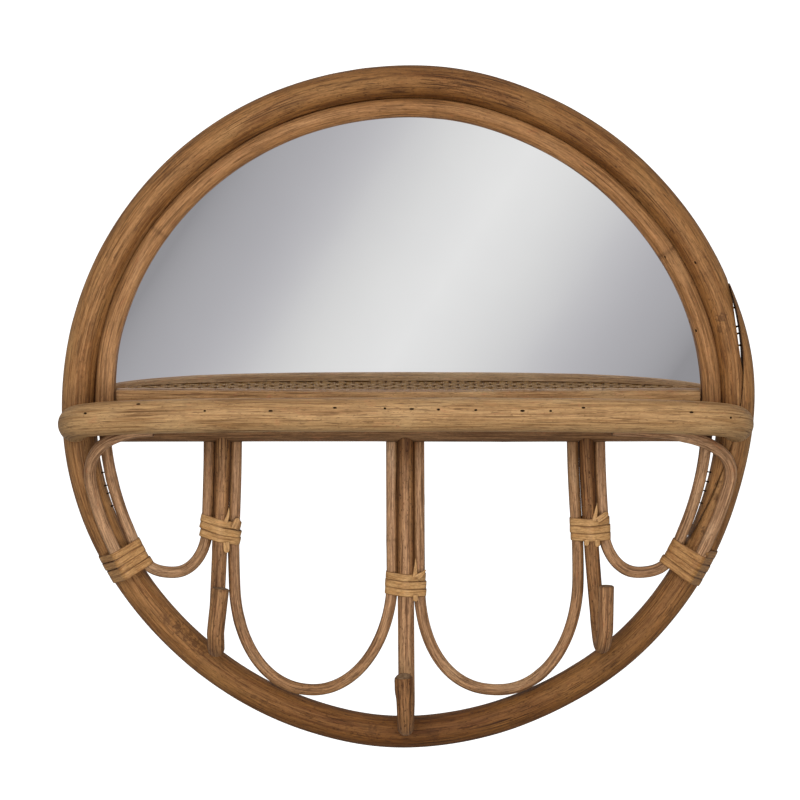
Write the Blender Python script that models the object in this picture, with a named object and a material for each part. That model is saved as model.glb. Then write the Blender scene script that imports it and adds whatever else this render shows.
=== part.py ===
"""Round rattan wall mirror: a half-round glass above a small woven shelf, and below it
scalloped canes and three struts whose lower ends turn up into hooks.

Metres, +Z up, +X to the right, and the mirror faces -Y. The wall is the plane y = 0. The
origin is on the back of the hanger plate, behind the top of the hoop.
"""
import math

import bmesh
import bpy
from mathutils import Vector

# Clearances
TOUCH = 0.0003
GLASS_PLAY = 0.0005

# Hoop: one thick pole bent round, its two ends lapped in a long scarf on the right
HOOP_WIDTH = 0.610
HOOP_POLE = 0.031
HOOP_SIDES = 12
HOOP_THINNING = 0.0020
HOOP_THINS_OVER = 1.6
SCARF_LOW = math.radians(-24.0)
SCARF_HIGH = math.radians(21.6)
SCARF_TIP = 0.0016
SCARF_GAP = 0.0005
SCARF_SPRING = 0.0026
SCARF_SPRING_MIDDLE = math.radians(6.5)
SCARF_SPRING_STRETCH = math.radians(22.0)

# Where bending by hand left the hoop fuller or flatter: middle, half the stretch, how much
HOOP_BENDS = {
    "right": (math.radians(12.0), math.radians(34.0), 0.0026),
    "top": (math.radians(82.0), math.radians(18.0), 0.0011),
    "upper_left": (math.radians(130.0), math.radians(50.0), 0.0006),
    "lower_left": (math.radians(226.0), math.radians(40.0), -0.0032),
    "foot": (math.radians(268.0), math.radians(16.0), 0.0011),
    "lower_right": (math.radians(297.0), math.radians(18.0), -0.0010),
}

# Hanger plate behind the top of the hoop
HANGER_WIDTH = 0.022
HANGER_THICK = 0.002
HANGER_ABOVE = 0.012
HANGER_BELOW = 0.040
KEYHOLE_BORE = 0.010
KEYHOLE_SLOT = 0.005
KEYHOLE_DROP = 0.028
KEYHOLE_RISE = 0.010

# Bead, the inner hoop that holds the glass, over the upper half
BEAD_POLE = 0.0166
BEAD_INSET = 0.0213
BEAD_BENDS = {
    "left_foot": (math.radians(178.0), math.radians(14.0), -0.0022),
}

# Glass and backing board
GLASS_THICK = 0.003
BOARD_THICK = 0.004

# Rear rail, level across the hoop, and the flat strip on it in front of the glass
REAR_POLE = 0.030
REAR_END_PLAY = 0.0024
REAR_BELOW_CENTRE = 0.0111
STRIP_END_PLAY = 0.0018
STRIP_EASED_EDGE = 0.0012
STRIP_HEIGHT = 0.0153
STRIP_THICK = 0.0088

# Front rail, bent round the shelf and rising towards the front
FRONT_POLE = 0.030
FRONT_PAST_HOOP = 0.0023
FRONT_REACH = 0.0705
FRONT_SQUARENESS = 3.0
FRONT_SLOPE = math.radians(15.7)
FRONT_END_BELOW_CENTRE = 0.0111
FRONT_COPE = 0.006

# Woven shelf between the rails
SHELF_THICK = 0.003
SHELF_INSET = 0.0398
SHELF_BELOW_RAIL_TOP = 0.0065
SHELF_ABOVE_REAR_RAIL = 0.0012
SHELF_FIT_POINTS = 400
SHELF_FIT_HALVINGS = 24

# Lower canes: they all lie in one plane, a little in front of the middle of the hoop
INFILL_FORWARD = 0.0105
CANE_POLE = 0.0104
STRUT_POLE = 0.0144
STRUT_FORWARD = 0.0045
LEG_BEVEL = 0.0010

# Hooks: the struts' lower ends, bent forward and up in front of the hoop
HOOK_BEND = 0.020
STRUT_LEAN_POWER = 1.4

# The pattern below the rail follows the hoop: its places are shares of the hoop's radius.
# Each strut: how far across its top and foot and its prong's root and tip are, and how
# high the hook's lowest point and the prong's tip are above the middle of the hoop
STRUTS = {
    "left": {
        "top": -0.5589,
        "foot": -0.5872,
        "root": -0.5769,
        "tip": -0.5623,
        "low": -0.7402,
        "high": -0.5181,
    },
    "middle": {
        "top": -0.0017,
        "foot": 0.0035,
        "root": -0.0021,
        "tip": -0.0069,
        "low": -0.9862,
        "high": -0.7841,
    },
    "right": {
        "top": 0.5506,
        "foot": 0.5985,
        "root": 0.6069,
        "tip": 0.6086,
        "low": -0.7323,
        "high": -0.5095,
    },
}

# Scallops: where each loop begins to turn and ends, as shares, and how far the inner ones
# have drawn away from the outer struts there
INNER_SCALLOP_LOW = 0.8636
INNER_SCALLOP_SPRING = 0.5112
INNER_SCALLOP_DRAW = 0.0021
INNER_SCALLOP_SQUARENESS = {"left": (2.15, 2.0), "right": (2.08, 2.27)}
OUTER_SCALLOP_LOW = 0.4960
OUTER_SCALLOP_SPRING = 0.3523
OUTER_SCALLOP_CENTRE = 0.7123
OUTER_TURN = 0.0898
OUTER_TURN_INWARD = 0.7
OUTER_TURN_UP = 0.8
OUTER_LEG_INSET_TOP = 0.0227
OUTER_LEG_INSET_FOOT = 0.0223
OUTER_LEG_FOOT_ANGLE = math.radians(23.5)

# Braces, from under the front rail down the front of the hoop
BRACE_FOOT_ANGLE = math.radians(28.6)
BRACES = {
    "left": {
        "inward_foot": 0.0026,
        "inward_top": 0.0042,
        "leaves": math.radians(14.0),
        "lift": 0.022,
        "along_rail": 0.060,
        "end": 0.7600,
    },
    "right": {
        "inward_foot": 0.0,
        "inward_top": -0.0025,
        "leaves": math.radians(12.5),
        "lift": 0.046,
        "along_rail": 0.045,
        "end": 0.6200,
    },
}

# Bindings of flat rattan peel
PEEL_THICK = 0.0009
PEEL_WIDTH = 0.0069
PEEL_CROWN = 0.0004
LEG_SLANT = 1.12
STRUT_BINDINGS = {
    "left": {"height": -0.3606, "slope": -0.26, "turns": 3},
    "middle": {"height": -0.5299, "slope": -0.07, "turns": 3},
    "right": {"height": -0.3582, "slope": 0.02, "turns": 3},
}
HOOP_BINDINGS = {
    "left": {"side": -1, "angle": math.radians(28.15), "turns": 4},
    "right": {"side": 1, "angle": math.radians(28.2), "turns": 4},
}

# Poles' cut ends: a small chamfer, and how much of a thin cane it may take
END_CHAMFER = 0.0012
END_CHAMFER_SHARE = 0.2

# A path that starts nearer than this to the front-to-back line needs another cross direction
NEARLY_PARALLEL = 0.9

# Facets
HOOP_STEP = math.radians(5.0)
BEAD_SIDES = 10
CANE_SIDES = 8
STRUT_SIDES = 8
RAIL_SIDES = 12
BINDING_SIDES = 18
SADDLE_SIDES = 24
SADDLE_STEPS = 12
SADDLE_REACH = math.radians(12.0)

# Places that follow from the sizes above
HOOP_R = HOOP_POLE / 2
HOOP_RADIUS = HOOP_WIDTH / 2 - HOOP_R
CENTRE_Z = -HOOP_RADIUS
HOOP_Y = -(HANGER_THICK + TOUCH + HOOP_R)
BEAD_R = BEAD_POLE / 2
BEAD_RADIUS = HOOP_RADIUS - BEAD_INSET
BEAD_Y = HOOP_Y - math.sqrt((HOOP_R + BEAD_R + TOUCH) ** 2 - BEAD_INSET ** 2)
GLASS_FRONT = BEAD_Y + BEAD_R + TOUCH
GLASS_BACK = GLASS_FRONT + GLASS_THICK
BOARD_FRONT = GLASS_BACK + TOUCH
BOARD_BACK = BOARD_FRONT + BOARD_THICK
GLASS_RADIUS = HOOP_RADIUS - HOOP_R - GLASS_PLAY
REAR_R = REAR_POLE / 2
REAR_Y = HOOP_Y - INFILL_FORWARD
REAR_Z = CENTRE_Z - REAR_BELOW_CENTRE
REAR_TOP = REAR_Z + REAR_R
REAR_REACH = math.sqrt((HOOP_RADIUS - HOOP_R) ** 2 - (REAR_BELOW_CENTRE + REAR_R) ** 2)
REAR_HALF_LENGTH = REAR_REACH - REAR_END_PLAY
STRIP_LOW = REAR_TOP + TOUCH
STRIP_HIGH = STRIP_LOW + STRIP_HEIGHT
STRIP_BACK = GLASS_FRONT - TOUCH
STRIP_FRONT = STRIP_BACK - STRIP_THICK
FRONT_R = FRONT_POLE / 2
FRONT_HALF_WIDTH = HOOP_RADIUS + FRONT_PAST_HOOP
FRONT_RISE = math.tan(FRONT_SLOPE)
SHELF_HALF_WIDTH = FRONT_HALF_WIDTH - SHELF_INSET
FRONT_END_Y = HOOP_Y - HOOP_R - TOUCH
FRONT_END_Z = CENTRE_Z - FRONT_END_BELOW_CENTRE
INFILL_Y = REAR_Y
CANE_R = CANE_POLE / 2
STRUT_R = STRUT_POLE / 2
LEG_TOP = REAR_Z - REAR_R - TOUCH
STRUT_Y = INFILL_Y - STRUT_FORWARD
LEG_SPACING = math.sqrt((STRUT_R + CANE_R + TOUCH) ** 2 - STRUT_FORWARD ** 2)
BINDING_SNUG = 1 / math.cos(math.pi / BINDING_SIDES)
PRONG_Y = STRUT_Y - 2 * HOOK_BEND
BRACE_OFFSET = HOOP_R + CANE_R + TOUCH

RATTAN_POLE = ("rattan_pole", (0.30, 0.17, 0.085), 0.55, 0.0)
RATTAN_CANE = ("rattan_cane", (0.36, 0.20, 0.10), 0.55, 0.0)
RATTAN_RAIL = ("rattan_rail", (0.42, 0.26, 0.13), 0.50, 0.0)
RATTAN_PEEL = ("rattan_peel", (0.50, 0.31, 0.15), 0.45, 0.0)
WOVEN_CANE = ("woven_cane", (0.32, 0.22, 0.13), 0.65, 0.0)
SILVERED_GLASS = ("silvered_glass", (0.80, 0.81, 0.82), 0.03, 1.0)
BOARD = ("backing_board", (0.36, 0.27, 0.19), 0.80, 0.0)
STEEL = ("zinc_steel", (0.62, 0.62, 0.60), 0.35, 1.0)


def clear_scene():
    for old in list(bpy.data.objects):
        bpy.data.objects.remove(old, do_unlink=True)


def material(finish):
    name, colour, roughness, metallic = finish
    found = bpy.data.materials.get(name)
    if found:
        return found
    made = bpy.data.materials.new(name)
    made.use_nodes = True
    shader = made.node_tree.nodes["Principled BSDF"]
    shader.inputs["Base Color"].default_value = (*colour, 1.0)
    shader.inputs["Roughness"].default_value = roughness
    shader.inputs["Metallic"].default_value = metallic
    return made


def finish_object(name, bm, finish, crease=40.0):
    """Turn a bmesh into a named object with its faces outwards and round sides smooth."""
    bmesh.ops.recalc_face_normals(bm, faces=bm.faces)
    mesh = bpy.data.meshes.new(name)
    bm.to_mesh(mesh)
    bm.free()
    mesh.shade_smooth()
    mesh.set_sharp_from_angle(angle=math.radians(crease))
    made = bpy.data.objects.new(name, mesh)
    made.data.materials.append(material(finish))
    bpy.context.scene.collection.objects.link(made)
    return made


def skin(name, rings, finish, loop=False):
    """Join rings of points into one closed body: capped at its ends, or closed on itself."""
    bm = bmesh.new()
    rows = [[bm.verts.new(point) for point in ring] for ring in rings]
    pairs = list(zip(rows, rows[1:]))
    if loop:
        pairs.append((rows[-1], rows[0]))
    for first, second in pairs:
        count = len(first)
        for i in range(count):
            j = (i + 1) % count
            bm.faces.new((first[i], first[j], second[j], second[i]))
    if not loop:
        bm.faces.new(rows[0])
        bm.faces.new(rows[-1])
    return finish_object(name, bm, finish)


def prism(name, outline, low, high, finish):
    """A slab whose outline is given at its low and high face by two functions."""
    bm = bmesh.new()
    first = [bm.verts.new(low(a, b)) for a, b in outline]
    second = [bm.verts.new(high(a, b)) for a, b in outline]
    count = len(outline)
    for i in range(count):
        j = (i + 1) % count
        bm.faces.new((first[i], first[j], second[j], second[i]))
    bm.faces.new(first)
    bm.faces.new(second)
    return finish_object(name, bm, finish)


def frames(path):
    """Tangent and two steady cross directions at every point of a path."""
    count = len(path)
    tangents = []
    for i in range(count):
        ahead = path[min(i + 1, count - 1)]
        behind = path[max(i - 1, 0)]
        tangents.append((ahead - behind).normalized())
    start = Vector((0.0, -1.0, 0.0))
    if abs(tangents[0].dot(start)) > NEARLY_PARALLEL:
        start = Vector((1.0, 0.0, 0.0))
    side = (start - tangents[0] * start.dot(tangents[0])).normalized()
    result = []
    for tangent in tangents:
        side = (side - tangent * side.dot(tangent)).normalized()
        result.append((tangent, side, tangent.cross(side)))
    return result


def pole(name, path, radius, sides, finish):
    """A round pole along a path, with a small chamfer round both cut ends."""
    chamfer = min(END_CHAMFER, radius * END_CHAMFER_SHARE)
    axes = frames(path)
    stations = [(path[0], radius - chamfer, axes[0])]
    stations.append((path[0] + axes[0][0] * chamfer, radius, axes[0]))
    for point, axis in zip(path[1:-1], axes[1:-1]):
        stations.append((point, radius, axis))
    stations.append((path[-1] - axes[-1][0] * chamfer, radius, axes[-1]))
    stations.append((path[-1], radius - chamfer, axes[-1]))
    rings = []
    for point, size, (_, side, other) in stations:
        ring = []
        for k in range(sides):
            turn = 2 * math.pi * k / sides
            ring.append(point + side * (size * math.cos(turn)) + other * (size * math.sin(turn)))
        rings.append(ring)
    return skin(name, rings, finish)


def polar(angle, radius, y):
    """A point round the hoop's centre, its angle counted from +X towards +Z."""
    return Vector((radius * math.cos(angle), y, CENTRE_Z + radius * math.sin(angle)))


def bezier(first, leave, arrive, last, steps):
    """Points of a cubic curve, without its first point."""
    points = []
    for k in range(1, steps + 1):
        t = k / steps
        s = 1 - t
        points.append(first * s ** 3 + leave * (3 * s * s * t) + arrive * (3 * s * t * t) + last * t ** 3)
    return points


def bent(angle, bends):
    """How much fuller a hoop is at an angle than a true circle."""
    fuller = 0.0
    for middle, stretch, amount in bends.values():
        away = abs((angle - middle + math.pi) % (2 * math.pi) - math.pi)
        if away < stretch:
            fuller += amount * math.cos(math.pi / 2 * away / stretch) ** 2
    return fuller


def hoop_axis(angle):
    """The hoop's radius to the middle of its pole, with what bending by hand did to it."""
    return HOOP_RADIUS + bent(angle, HOOP_BENDS)


def bead_axis(angle):
    """The bead follows the hoop, but draws in from it a little at its left foot."""
    return hoop_axis(angle) - BEAD_INSET + bent(angle, BEAD_BENDS)


def hoop_pole(angle):
    """The radius of the hoop's pole: a little thinner over the lower half."""
    low = min(max(-HOOP_THINS_OVER * math.sin(angle), 0.0), 1.0)
    return HOOP_R - HOOP_THINNING / 2 * low


def scarf_cut(angle):
    """How far out from the pole's middle the scarf's joint runs at an angle of the lap."""
    share = (angle - SCARF_LOW) / (SCARF_HIGH - SCARF_LOW)
    return -HOOP_R + SCARF_TIP + share * 2 * (HOOP_R - SCARF_TIP)


def scarf_spring(angle):
    """How far the outer end stands off the inner one along the lap."""
    away = min(abs(angle - SCARF_SPRING_MIDDLE) / SCARF_SPRING_STRETCH, 1.0)
    return SCARF_SPRING * math.cos(math.pi / 2 * away) ** 2


def hoop_ring(angle):
    """One ring of the hoop's pole, flattened along the joint where the ends lap."""
    inner_end = angle <= SCARF_HIGH
    outer_end = angle >= 2 * math.pi + SCARF_LOW
    shift = 0.0
    if outer_end:
        shift = scarf_spring(angle - 2 * math.pi)
    size = hoop_pole(angle)
    ring = []
    for k in range(HOOP_SIDES):
        turn = 2 * math.pi * k / HOOP_SIDES
        out = size * math.cos(turn)
        if inner_end:
            out = min(out, scarf_cut(angle) - SCARF_GAP / 2)
        if outer_end:
            out = max(out, scarf_cut(angle - 2 * math.pi) + SCARF_GAP / 2) + shift
        ring.append(polar(angle, hoop_axis(angle) + out, HOOP_Y + size * math.sin(turn)))
    return ring


def make_hoop():
    start = SCARF_LOW
    stop = 2 * math.pi + SCARF_HIGH
    count = round((stop - start) / HOOP_STEP)
    rings = [hoop_ring(start + (stop - start) * k / count) for k in range(count + 1)]
    return skin("hoop", rings, RATTAN_POLE)


def make_bead():
    foot = math.asin((REAR_TOP + TOUCH - CENTRE_Z) / BEAD_RADIUS)
    count = round((math.pi - 2 * foot) / HOOP_STEP)
    path = []
    for k in range(count + 1):
        angle = foot + (math.pi - 2 * foot) * k / count
        path.append(polar(angle, bead_axis(angle), BEAD_Y))
    return pole("bead", path, BEAD_R, BEAD_SIDES, RATTAN_CANE)


def half_round(radius, floor):
    """The outline, across and up, of a disc cut off level at a height."""
    foot = math.asin((floor - CENTRE_Z) / radius)
    count = round((math.pi - 2 * foot) / HOOP_STEP)
    outline = []
    for k in range(count + 1):
        angle = foot + (math.pi - 2 * foot) * k / count
        outline.append((radius * math.cos(angle), CENTRE_Z + radius * math.sin(angle)))
    return outline


def upright_slab(name, outline, front, back, finish):
    return prism(name, outline, lambda x, z: (x, front, z), lambda x, z: (x, back, z), finish)


def make_glass_and_board():
    outline = half_round(GLASS_RADIUS, REAR_TOP + TOUCH)
    upright_slab("mirror_glass", outline, GLASS_FRONT, GLASS_BACK, SILVERED_GLASS)
    upright_slab("backing_board", outline, BOARD_FRONT, BOARD_BACK, BOARD)


def make_rear_rail():
    ends = [Vector((side * REAR_HALF_LENGTH, REAR_Y, REAR_Z)) for side in (-1, 1)]
    pole("rear_rail", ends, REAR_R, RAIL_SIDES, RATTAN_POLE)


def strip_end(side):
    """How far the strip reaches towards one side: up to the bead's inner face."""
    rise = STRIP_HIGH - CENTRE_Z
    angle = math.asin(rise / BEAD_RADIUS)
    inner_face = bead_axis(angle if side > 0 else math.pi - angle) - BEAD_R
    return side * (math.sqrt(inner_face ** 2 - rise ** 2) - STRIP_END_PLAY)


def make_strip():
    left, right = strip_end(-1), strip_end(1)
    outline = [(left, STRIP_LOW), (right, STRIP_LOW), (right, STRIP_HIGH), (left, STRIP_HIGH)]
    made = upright_slab("glass_strip", outline, STRIP_FRONT, STRIP_BACK, RATTAN_RAIL)
    bevel = made.modifiers.new("eased_edges", "BEVEL")
    bevel.width = STRIP_EASED_EDGE
    bevel.segments = 2
    return made


def front_rail_y(x):
    """How far forward the front rail's middle line is, at a place across."""
    share = min(abs(x) / FRONT_HALF_WIDTH, 1.0)
    return FRONT_END_Y - FRONT_REACH * (1 - share ** FRONT_SQUARENESS) ** (1 / FRONT_SQUARENESS)


def front_rail_point(x):
    y = front_rail_y(x)
    return Vector((x, y, FRONT_END_Z + FRONT_RISE * (FRONT_END_Y - y)))


def front_rail_path():
    """The rail's middle line from end to end, its points closer together at the corners."""
    steps = 34
    path = []
    for k in range(steps + 1):
        turn = math.pi * k / steps
        reach = abs(math.cos(turn)) ** (2 / FRONT_SQUARENESS)
        path.append(front_rail_point(math.copysign(FRONT_HALF_WIDTH * reach, math.cos(turn))))
    inward = Vector((0.0, FRONT_COPE, -FRONT_RISE * FRONT_COPE))
    path[0] = path[0] + inward
    path[-1] = path[-1] + inward
    return path


def saddle_ring(angle, spring):
    """A ring a touch larger than the hoop's pole, reaching further out by the scarf's spring."""
    grown = (HOOP_R + TOUCH) / math.cos(math.pi / SADDLE_SIDES)
    ring = []
    for k in range(SADDLE_SIDES):
        turn = 2 * math.pi * k / SADDLE_SIDES
        out = grown * math.cos(turn)
        if out > -TOUCH:
            out += spring
        ring.append(polar(angle, hoop_axis(angle) + out, HOOP_Y + grown * math.sin(turn)))
    return ring


def make_front_rail():
    """The front rail, its ends coped to sit on the front of the hoop."""
    rail = pole("front_rail", front_rail_path(), FRONT_R, RAIL_SIDES, RATTAN_RAIL)
    for name, middle, spring in (("right", 0.0, SCARF_SPRING), ("left", math.pi, 0.0)):
        rings = []
        for k in range(SADDLE_STEPS + 1):
            angle = middle + SADDLE_REACH * (2 * k / SADDLE_STEPS - 1)
            rings.append(saddle_ring(angle, spring))
        cutter = skin("saddle_cutter_" + name, rings, RATTAN_RAIL)
        cutter.hide_render = True
        cutter.display_type = "WIRE"
        cut = rail.modifiers.new("saddle_" + name, "BOOLEAN")
        cut.operation = "DIFFERENCE"
        cut.solver = "EXACT"
        cut.object = cutter
    return rail


def shelf_top(y):
    """Height of the shelf's upper face: it falls from the front rail to the rear one."""
    front_y = front_rail_y(0.0) + FRONT_R
    front_z = front_rail_point(0.0).z + FRONT_R - SHELF_BELOW_RAIL_TOP
    rear_y = STRIP_FRONT - TOUCH
    rear_z = REAR_TOP + SHELF_ABOVE_REAR_RAIL + SHELF_THICK
    return rear_z + (front_z - rear_z) * (rear_y - y) / (rear_y - front_y)


def shelf_front(x):
    """Where the shelf's lower front edge comes to the front rail, at a place across."""
    spacing = FRONT_HALF_WIDTH / SHELF_FIT_POINTS
    line = [front_rail_point(spacing * k) for k in range(SHELF_FIT_POINTS)]
    inside, clear = front_rail_y(x), STRIP_FRONT
    for _ in range(SHELF_FIT_HALVINGS):
        y = (inside + clear) / 2
        edge = Vector((abs(x), y, shelf_top(y) - SHELF_THICK))
        if min((edge - point).length for point in line) < FRONT_R + TOUCH:
            inside = y
        else:
            clear = y
    return clear


def make_shelf():
    steps = 24
    rear = STRIP_FRONT - TOUCH
    outline = [(SHELF_HALF_WIDTH, rear), (-SHELF_HALF_WIDTH, rear)]
    for k in range(steps + 1):
        x = -SHELF_HALF_WIDTH * math.cos(math.pi * k / steps)
        outline.append((x, shelf_front(x)))
    prism("woven_shelf", outline, lambda x, y: (x, y, shelf_top(y) - SHELF_THICK),
          lambda x, y: (x, y, shelf_top(y)), WOVEN_CANE)


def below(share):
    """A height given as a share of the hoop's radius, counted from the hoop's middle."""
    return CENTRE_Z + HOOP_RADIUS * share


def strut_x(strut, z):
    """Where a strut is across, at a height: upright at its top, leaning towards its foot."""
    share = (LEG_TOP - z) / (LEG_TOP - below(strut["low"]))
    share = min(max(share, 0.0), 1.0)
    lean = (strut["foot"] - strut["top"]) * share ** STRUT_LEAN_POWER
    return HOOP_RADIUS * (strut["top"] + lean)


def make_strut(side):
    """A strut from the rear rail down to its bend, and up again to the tip of its prong."""
    strut = STRUTS[side]
    bend_z = below(strut["low"]) + STRUT_R + HOOK_BEND
    path = []
    upright = 7
    for k in range(upright):
        z = LEG_TOP + (bend_z - LEG_TOP) * k / upright
        path.append(Vector((strut_x(strut, z), STRUT_Y, z)))
    foot_x = strut_x(strut, bend_z)
    turns = 10
    for k in range(turns + 1):
        turn = math.pi * k / turns
        across = foot_x + (HOOP_RADIUS * strut["root"] - foot_x) * k / turns
        y = STRUT_Y - HOOK_BEND * (1 - math.cos(turn))
        path.append(Vector((across, y, bend_z - HOOK_BEND * math.sin(turn))))
    path.append(Vector((HOOP_RADIUS * strut["tip"], PRONG_Y, below(strut["high"]))))
    return pole("strut_hook_" + side, path, STRUT_R, STRUT_SIDES, RATTAN_CANE)


def leg_beside(side, direction, low):
    """Points down a scallop's leg that lies against a strut, from the rear rail to a height."""
    strut = STRUTS[side]
    steps = 4
    points = []
    for k in range(steps + 1):
        z = LEG_TOP + (low - LEG_TOP) * k / steps
        points.append(Vector((strut_x(strut, z) + direction * LEG_SPACING, INFILL_Y, z)))
    return points


def inner_scallop_path(direction):
    """The scallop between the middle strut and an outer one, from its outer leg round."""
    outer = "left" if direction < 0 else "right"
    spring = below(-INNER_SCALLOP_SPRING)
    low = below(-INNER_SCALLOP_LOW)
    near = strut_x(STRUTS["middle"], spring) + direction * LEG_SPACING
    far = strut_x(STRUTS[outer], spring) - direction * (LEG_SPACING + INNER_SCALLOP_DRAW)
    centre = (near + far) / 2
    half = abs(far - near) / 2
    under = STRUT_BINDINGS[outer]["turns"] * PEEL_WIDTH / 2
    down = leg_beside(outer, -direction, below(STRUT_BINDINGS[outer]["height"]) - under)
    up = leg_beside("middle", direction, spring + CANE_R)
    bowl = []
    steps = 18
    for k in range(steps + 1):
        turn = math.pi * k / steps
        squareness = INNER_SCALLOP_SQUARENESS[outer][0 if k < steps / 2 else 1]
        reach = math.copysign(abs(math.cos(turn)) ** (2 / squareness), math.cos(turn))
        drop = math.sin(turn) ** (2 / squareness) if 0 < k < steps else 0.0
        x = centre + direction * half * reach
        bowl.append(Vector((x, INFILL_Y, spring - (spring - low) * drop)))
    return down + bowl + up[::-1]


def outer_scallop_path(direction):
    """The scallop between an outer strut and the hoop, from its outer leg round."""
    side = "left" if direction < 0 else "right"
    middle = 0.0 if direction > 0 else math.pi
    top_radius = HOOP_RADIUS - OUTER_LEG_INSET_TOP
    top_angle = math.asin((CENTRE_Z - LEG_TOP + LEG_BEVEL) / top_radius)
    path = []
    steps = 6
    for k in range(steps + 1):
        share = k / steps
        angle = top_angle + (OUTER_LEG_FOOT_ANGLE - top_angle) * share
        radius = top_radius + (OUTER_LEG_INSET_TOP - OUTER_LEG_INSET_FOOT) * share
        path.append(polar(middle - direction * angle, radius, INFILL_Y))
    foot = path[-1]
    along = (foot - path[-2]).normalized()
    across = direction * HOOP_RADIUS * OUTER_SCALLOP_CENTRE
    low = Vector((across, INFILL_Y, below(-OUTER_SCALLOP_LOW)))
    inward = Vector((-direction, 0.0, 0.0))
    turn = HOOP_RADIUS * OUTER_TURN
    path += bezier(foot, foot + along * turn, low - inward * turn, low, 8)
    spring = below(-OUTER_SCALLOP_SPRING)
    leg = Vector((strut_x(STRUTS[side], spring) + direction * LEG_SPACING, INFILL_Y, spring))
    rise = Vector((0.0, 0.0, turn * OUTER_TURN_UP))
    path += bezier(low, low + inward * (turn * OUTER_TURN_INWARD), leg - rise, leg, 7)
    return path + leg_beside(side, direction, spring + CANE_POLE)[::-1]


def brace_seat(side, drop):
    """Where a brace lies on the hoop's front, at an angle below level: radius and y."""
    brace = BRACES[side]
    share = (drop - brace["leaves"]) / (BRACE_FOOT_ANGLE - brace["leaves"])
    inward = brace["inward_top"] + (brace["inward_foot"] - brace["inward_top"]) * share
    angle = -drop if side == "right" else math.pi + drop
    return hoop_axis(angle) - inward, HOOP_Y - math.sqrt(BRACE_OFFSET ** 2 - inward ** 2)


def brace_path(direction):
    """A brace from inside its hoop binding, up the hoop's front and in under the rail."""
    side = "left" if direction < 0 else "right"
    brace = BRACES[side]
    middle = 0.0 if direction > 0 else math.pi
    path = []
    steps = 5
    for k in range(steps + 1):
        drop = BRACE_FOOT_ANGLE + (brace["leaves"] - BRACE_FOOT_ANGLE) * k / steps
        radius, y = brace_seat(side, drop)
        path.append(polar(middle - direction * drop, radius, y))
    leaves = path[-1]
    along = (leaves - path[-2]).normalized()
    end = direction * HOOP_RADIUS * brace["end"]
    rail = front_rail_point(end)
    ahead = front_rail_point(end - direction * FRONT_R)
    beside = (ahead - rail).normalized()
    slant = (FRONT_R + CANE_R + 2 * TOUCH) / math.sqrt(2)
    last = rail + Vector((0.0, slant, -slant))
    lifted = leaves + along * brace["lift"]
    return path + bezier(leaves, lifted, last - beside * brace["along_rail"], last, 12)


def hull_ring(circles, count):
    """Points of a tight band round some circles, each given as (across, ahead, radius)."""
    ring = []
    for k in range(count):
        turn = 2 * math.pi * k / count
        ca, sa = math.cos(turn), math.sin(turn)
        best = max(circles, key=lambda c: c[0] * ca + c[1] * sa + c[2])
        ring.append((best[0] + best[2] * ca, best[1] + best[2] * sa))
    return ring


def binding_rings(members, place, turns, width):
    """Rings of a binding: down its crowned outside, turn by turn, and back up its inside."""
    half = turns * width / 2
    levels = []
    for turn in range(turns):
        start = -half + turn * width
        levels.append((start, 0.0))
        levels.append((start + width / 2, PEEL_CROWN))
    levels.append((half, 0.0))
    rings = []
    for along, crown in levels:
        skin_gap = TOUCH + PEEL_THICK + crown
        circles = [(a, b, (r + skin_gap) * BINDING_SNUG) for a, b, r in members(along)]
        rings.append([place(along, a, b) for a, b in hull_ring(circles, BINDING_SIDES)])
    for along in (half, 0.0, -half):
        circles = [(a, b, (r + TOUCH) * BINDING_SNUG) for a, b, r in members(along)]
        rings.append([place(along, a, b) for a, b in hull_ring(circles, BINDING_SIDES)])
    return rings


def height_on(path, z):
    """Where a path crosses a height, across; the highest crossing counts."""
    for first, second in zip(path, path[1:]):
        if min(first.z, second.z) <= z <= max(first.z, second.z):
            share = (z - first.z) / (second.z - first.z)
            return first.x + (second.x - first.x) * share
    return path[0].x


def radius_on(path, angle):
    """How far from the hoop's centre a path is where it crosses an angle from level."""
    for first, second in zip(path, path[1:]):
        near = math.atan2(CENTRE_Z - first.z, abs(first.x))
        far = math.atan2(CENTRE_Z - second.z, abs(second.x))
        if near <= angle <= far:
            share = (angle - near) / (far - near)
            point = first + (second - first) * share
            return math.hypot(point.x, point.z - CENTRE_Z)
    return HOOP_RADIUS - OUTER_LEG_INSET_FOOT


def make_strut_binding(side, paths):
    """A binding round a strut and the two scallop legs beside it."""
    data = STRUT_BINDINGS[side]
    height = below(data["height"])
    strut = STRUTS[side]
    middle = strut_x(strut, height)
    slack = abs(data["slope"]) * LEG_SPACING

    def members(along):
        z = height - along
        found = [(strut_x(strut, z), -STRUT_FORWARD, STRUT_R)]
        for path in paths:
            for level in (z - slack, z, z + slack):
                found.append((height_on(path, level), 0.0, CANE_R))
        return found

    def place(along, across, ahead):
        z = height - along + data["slope"] * (across - middle)
        return Vector((across, INFILL_Y + ahead, z))

    rings = binding_rings(members, place, data["turns"], PEEL_WIDTH)
    return skin("strut_binding_" + side, rings, RATTAN_PEEL, loop=True)


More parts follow.
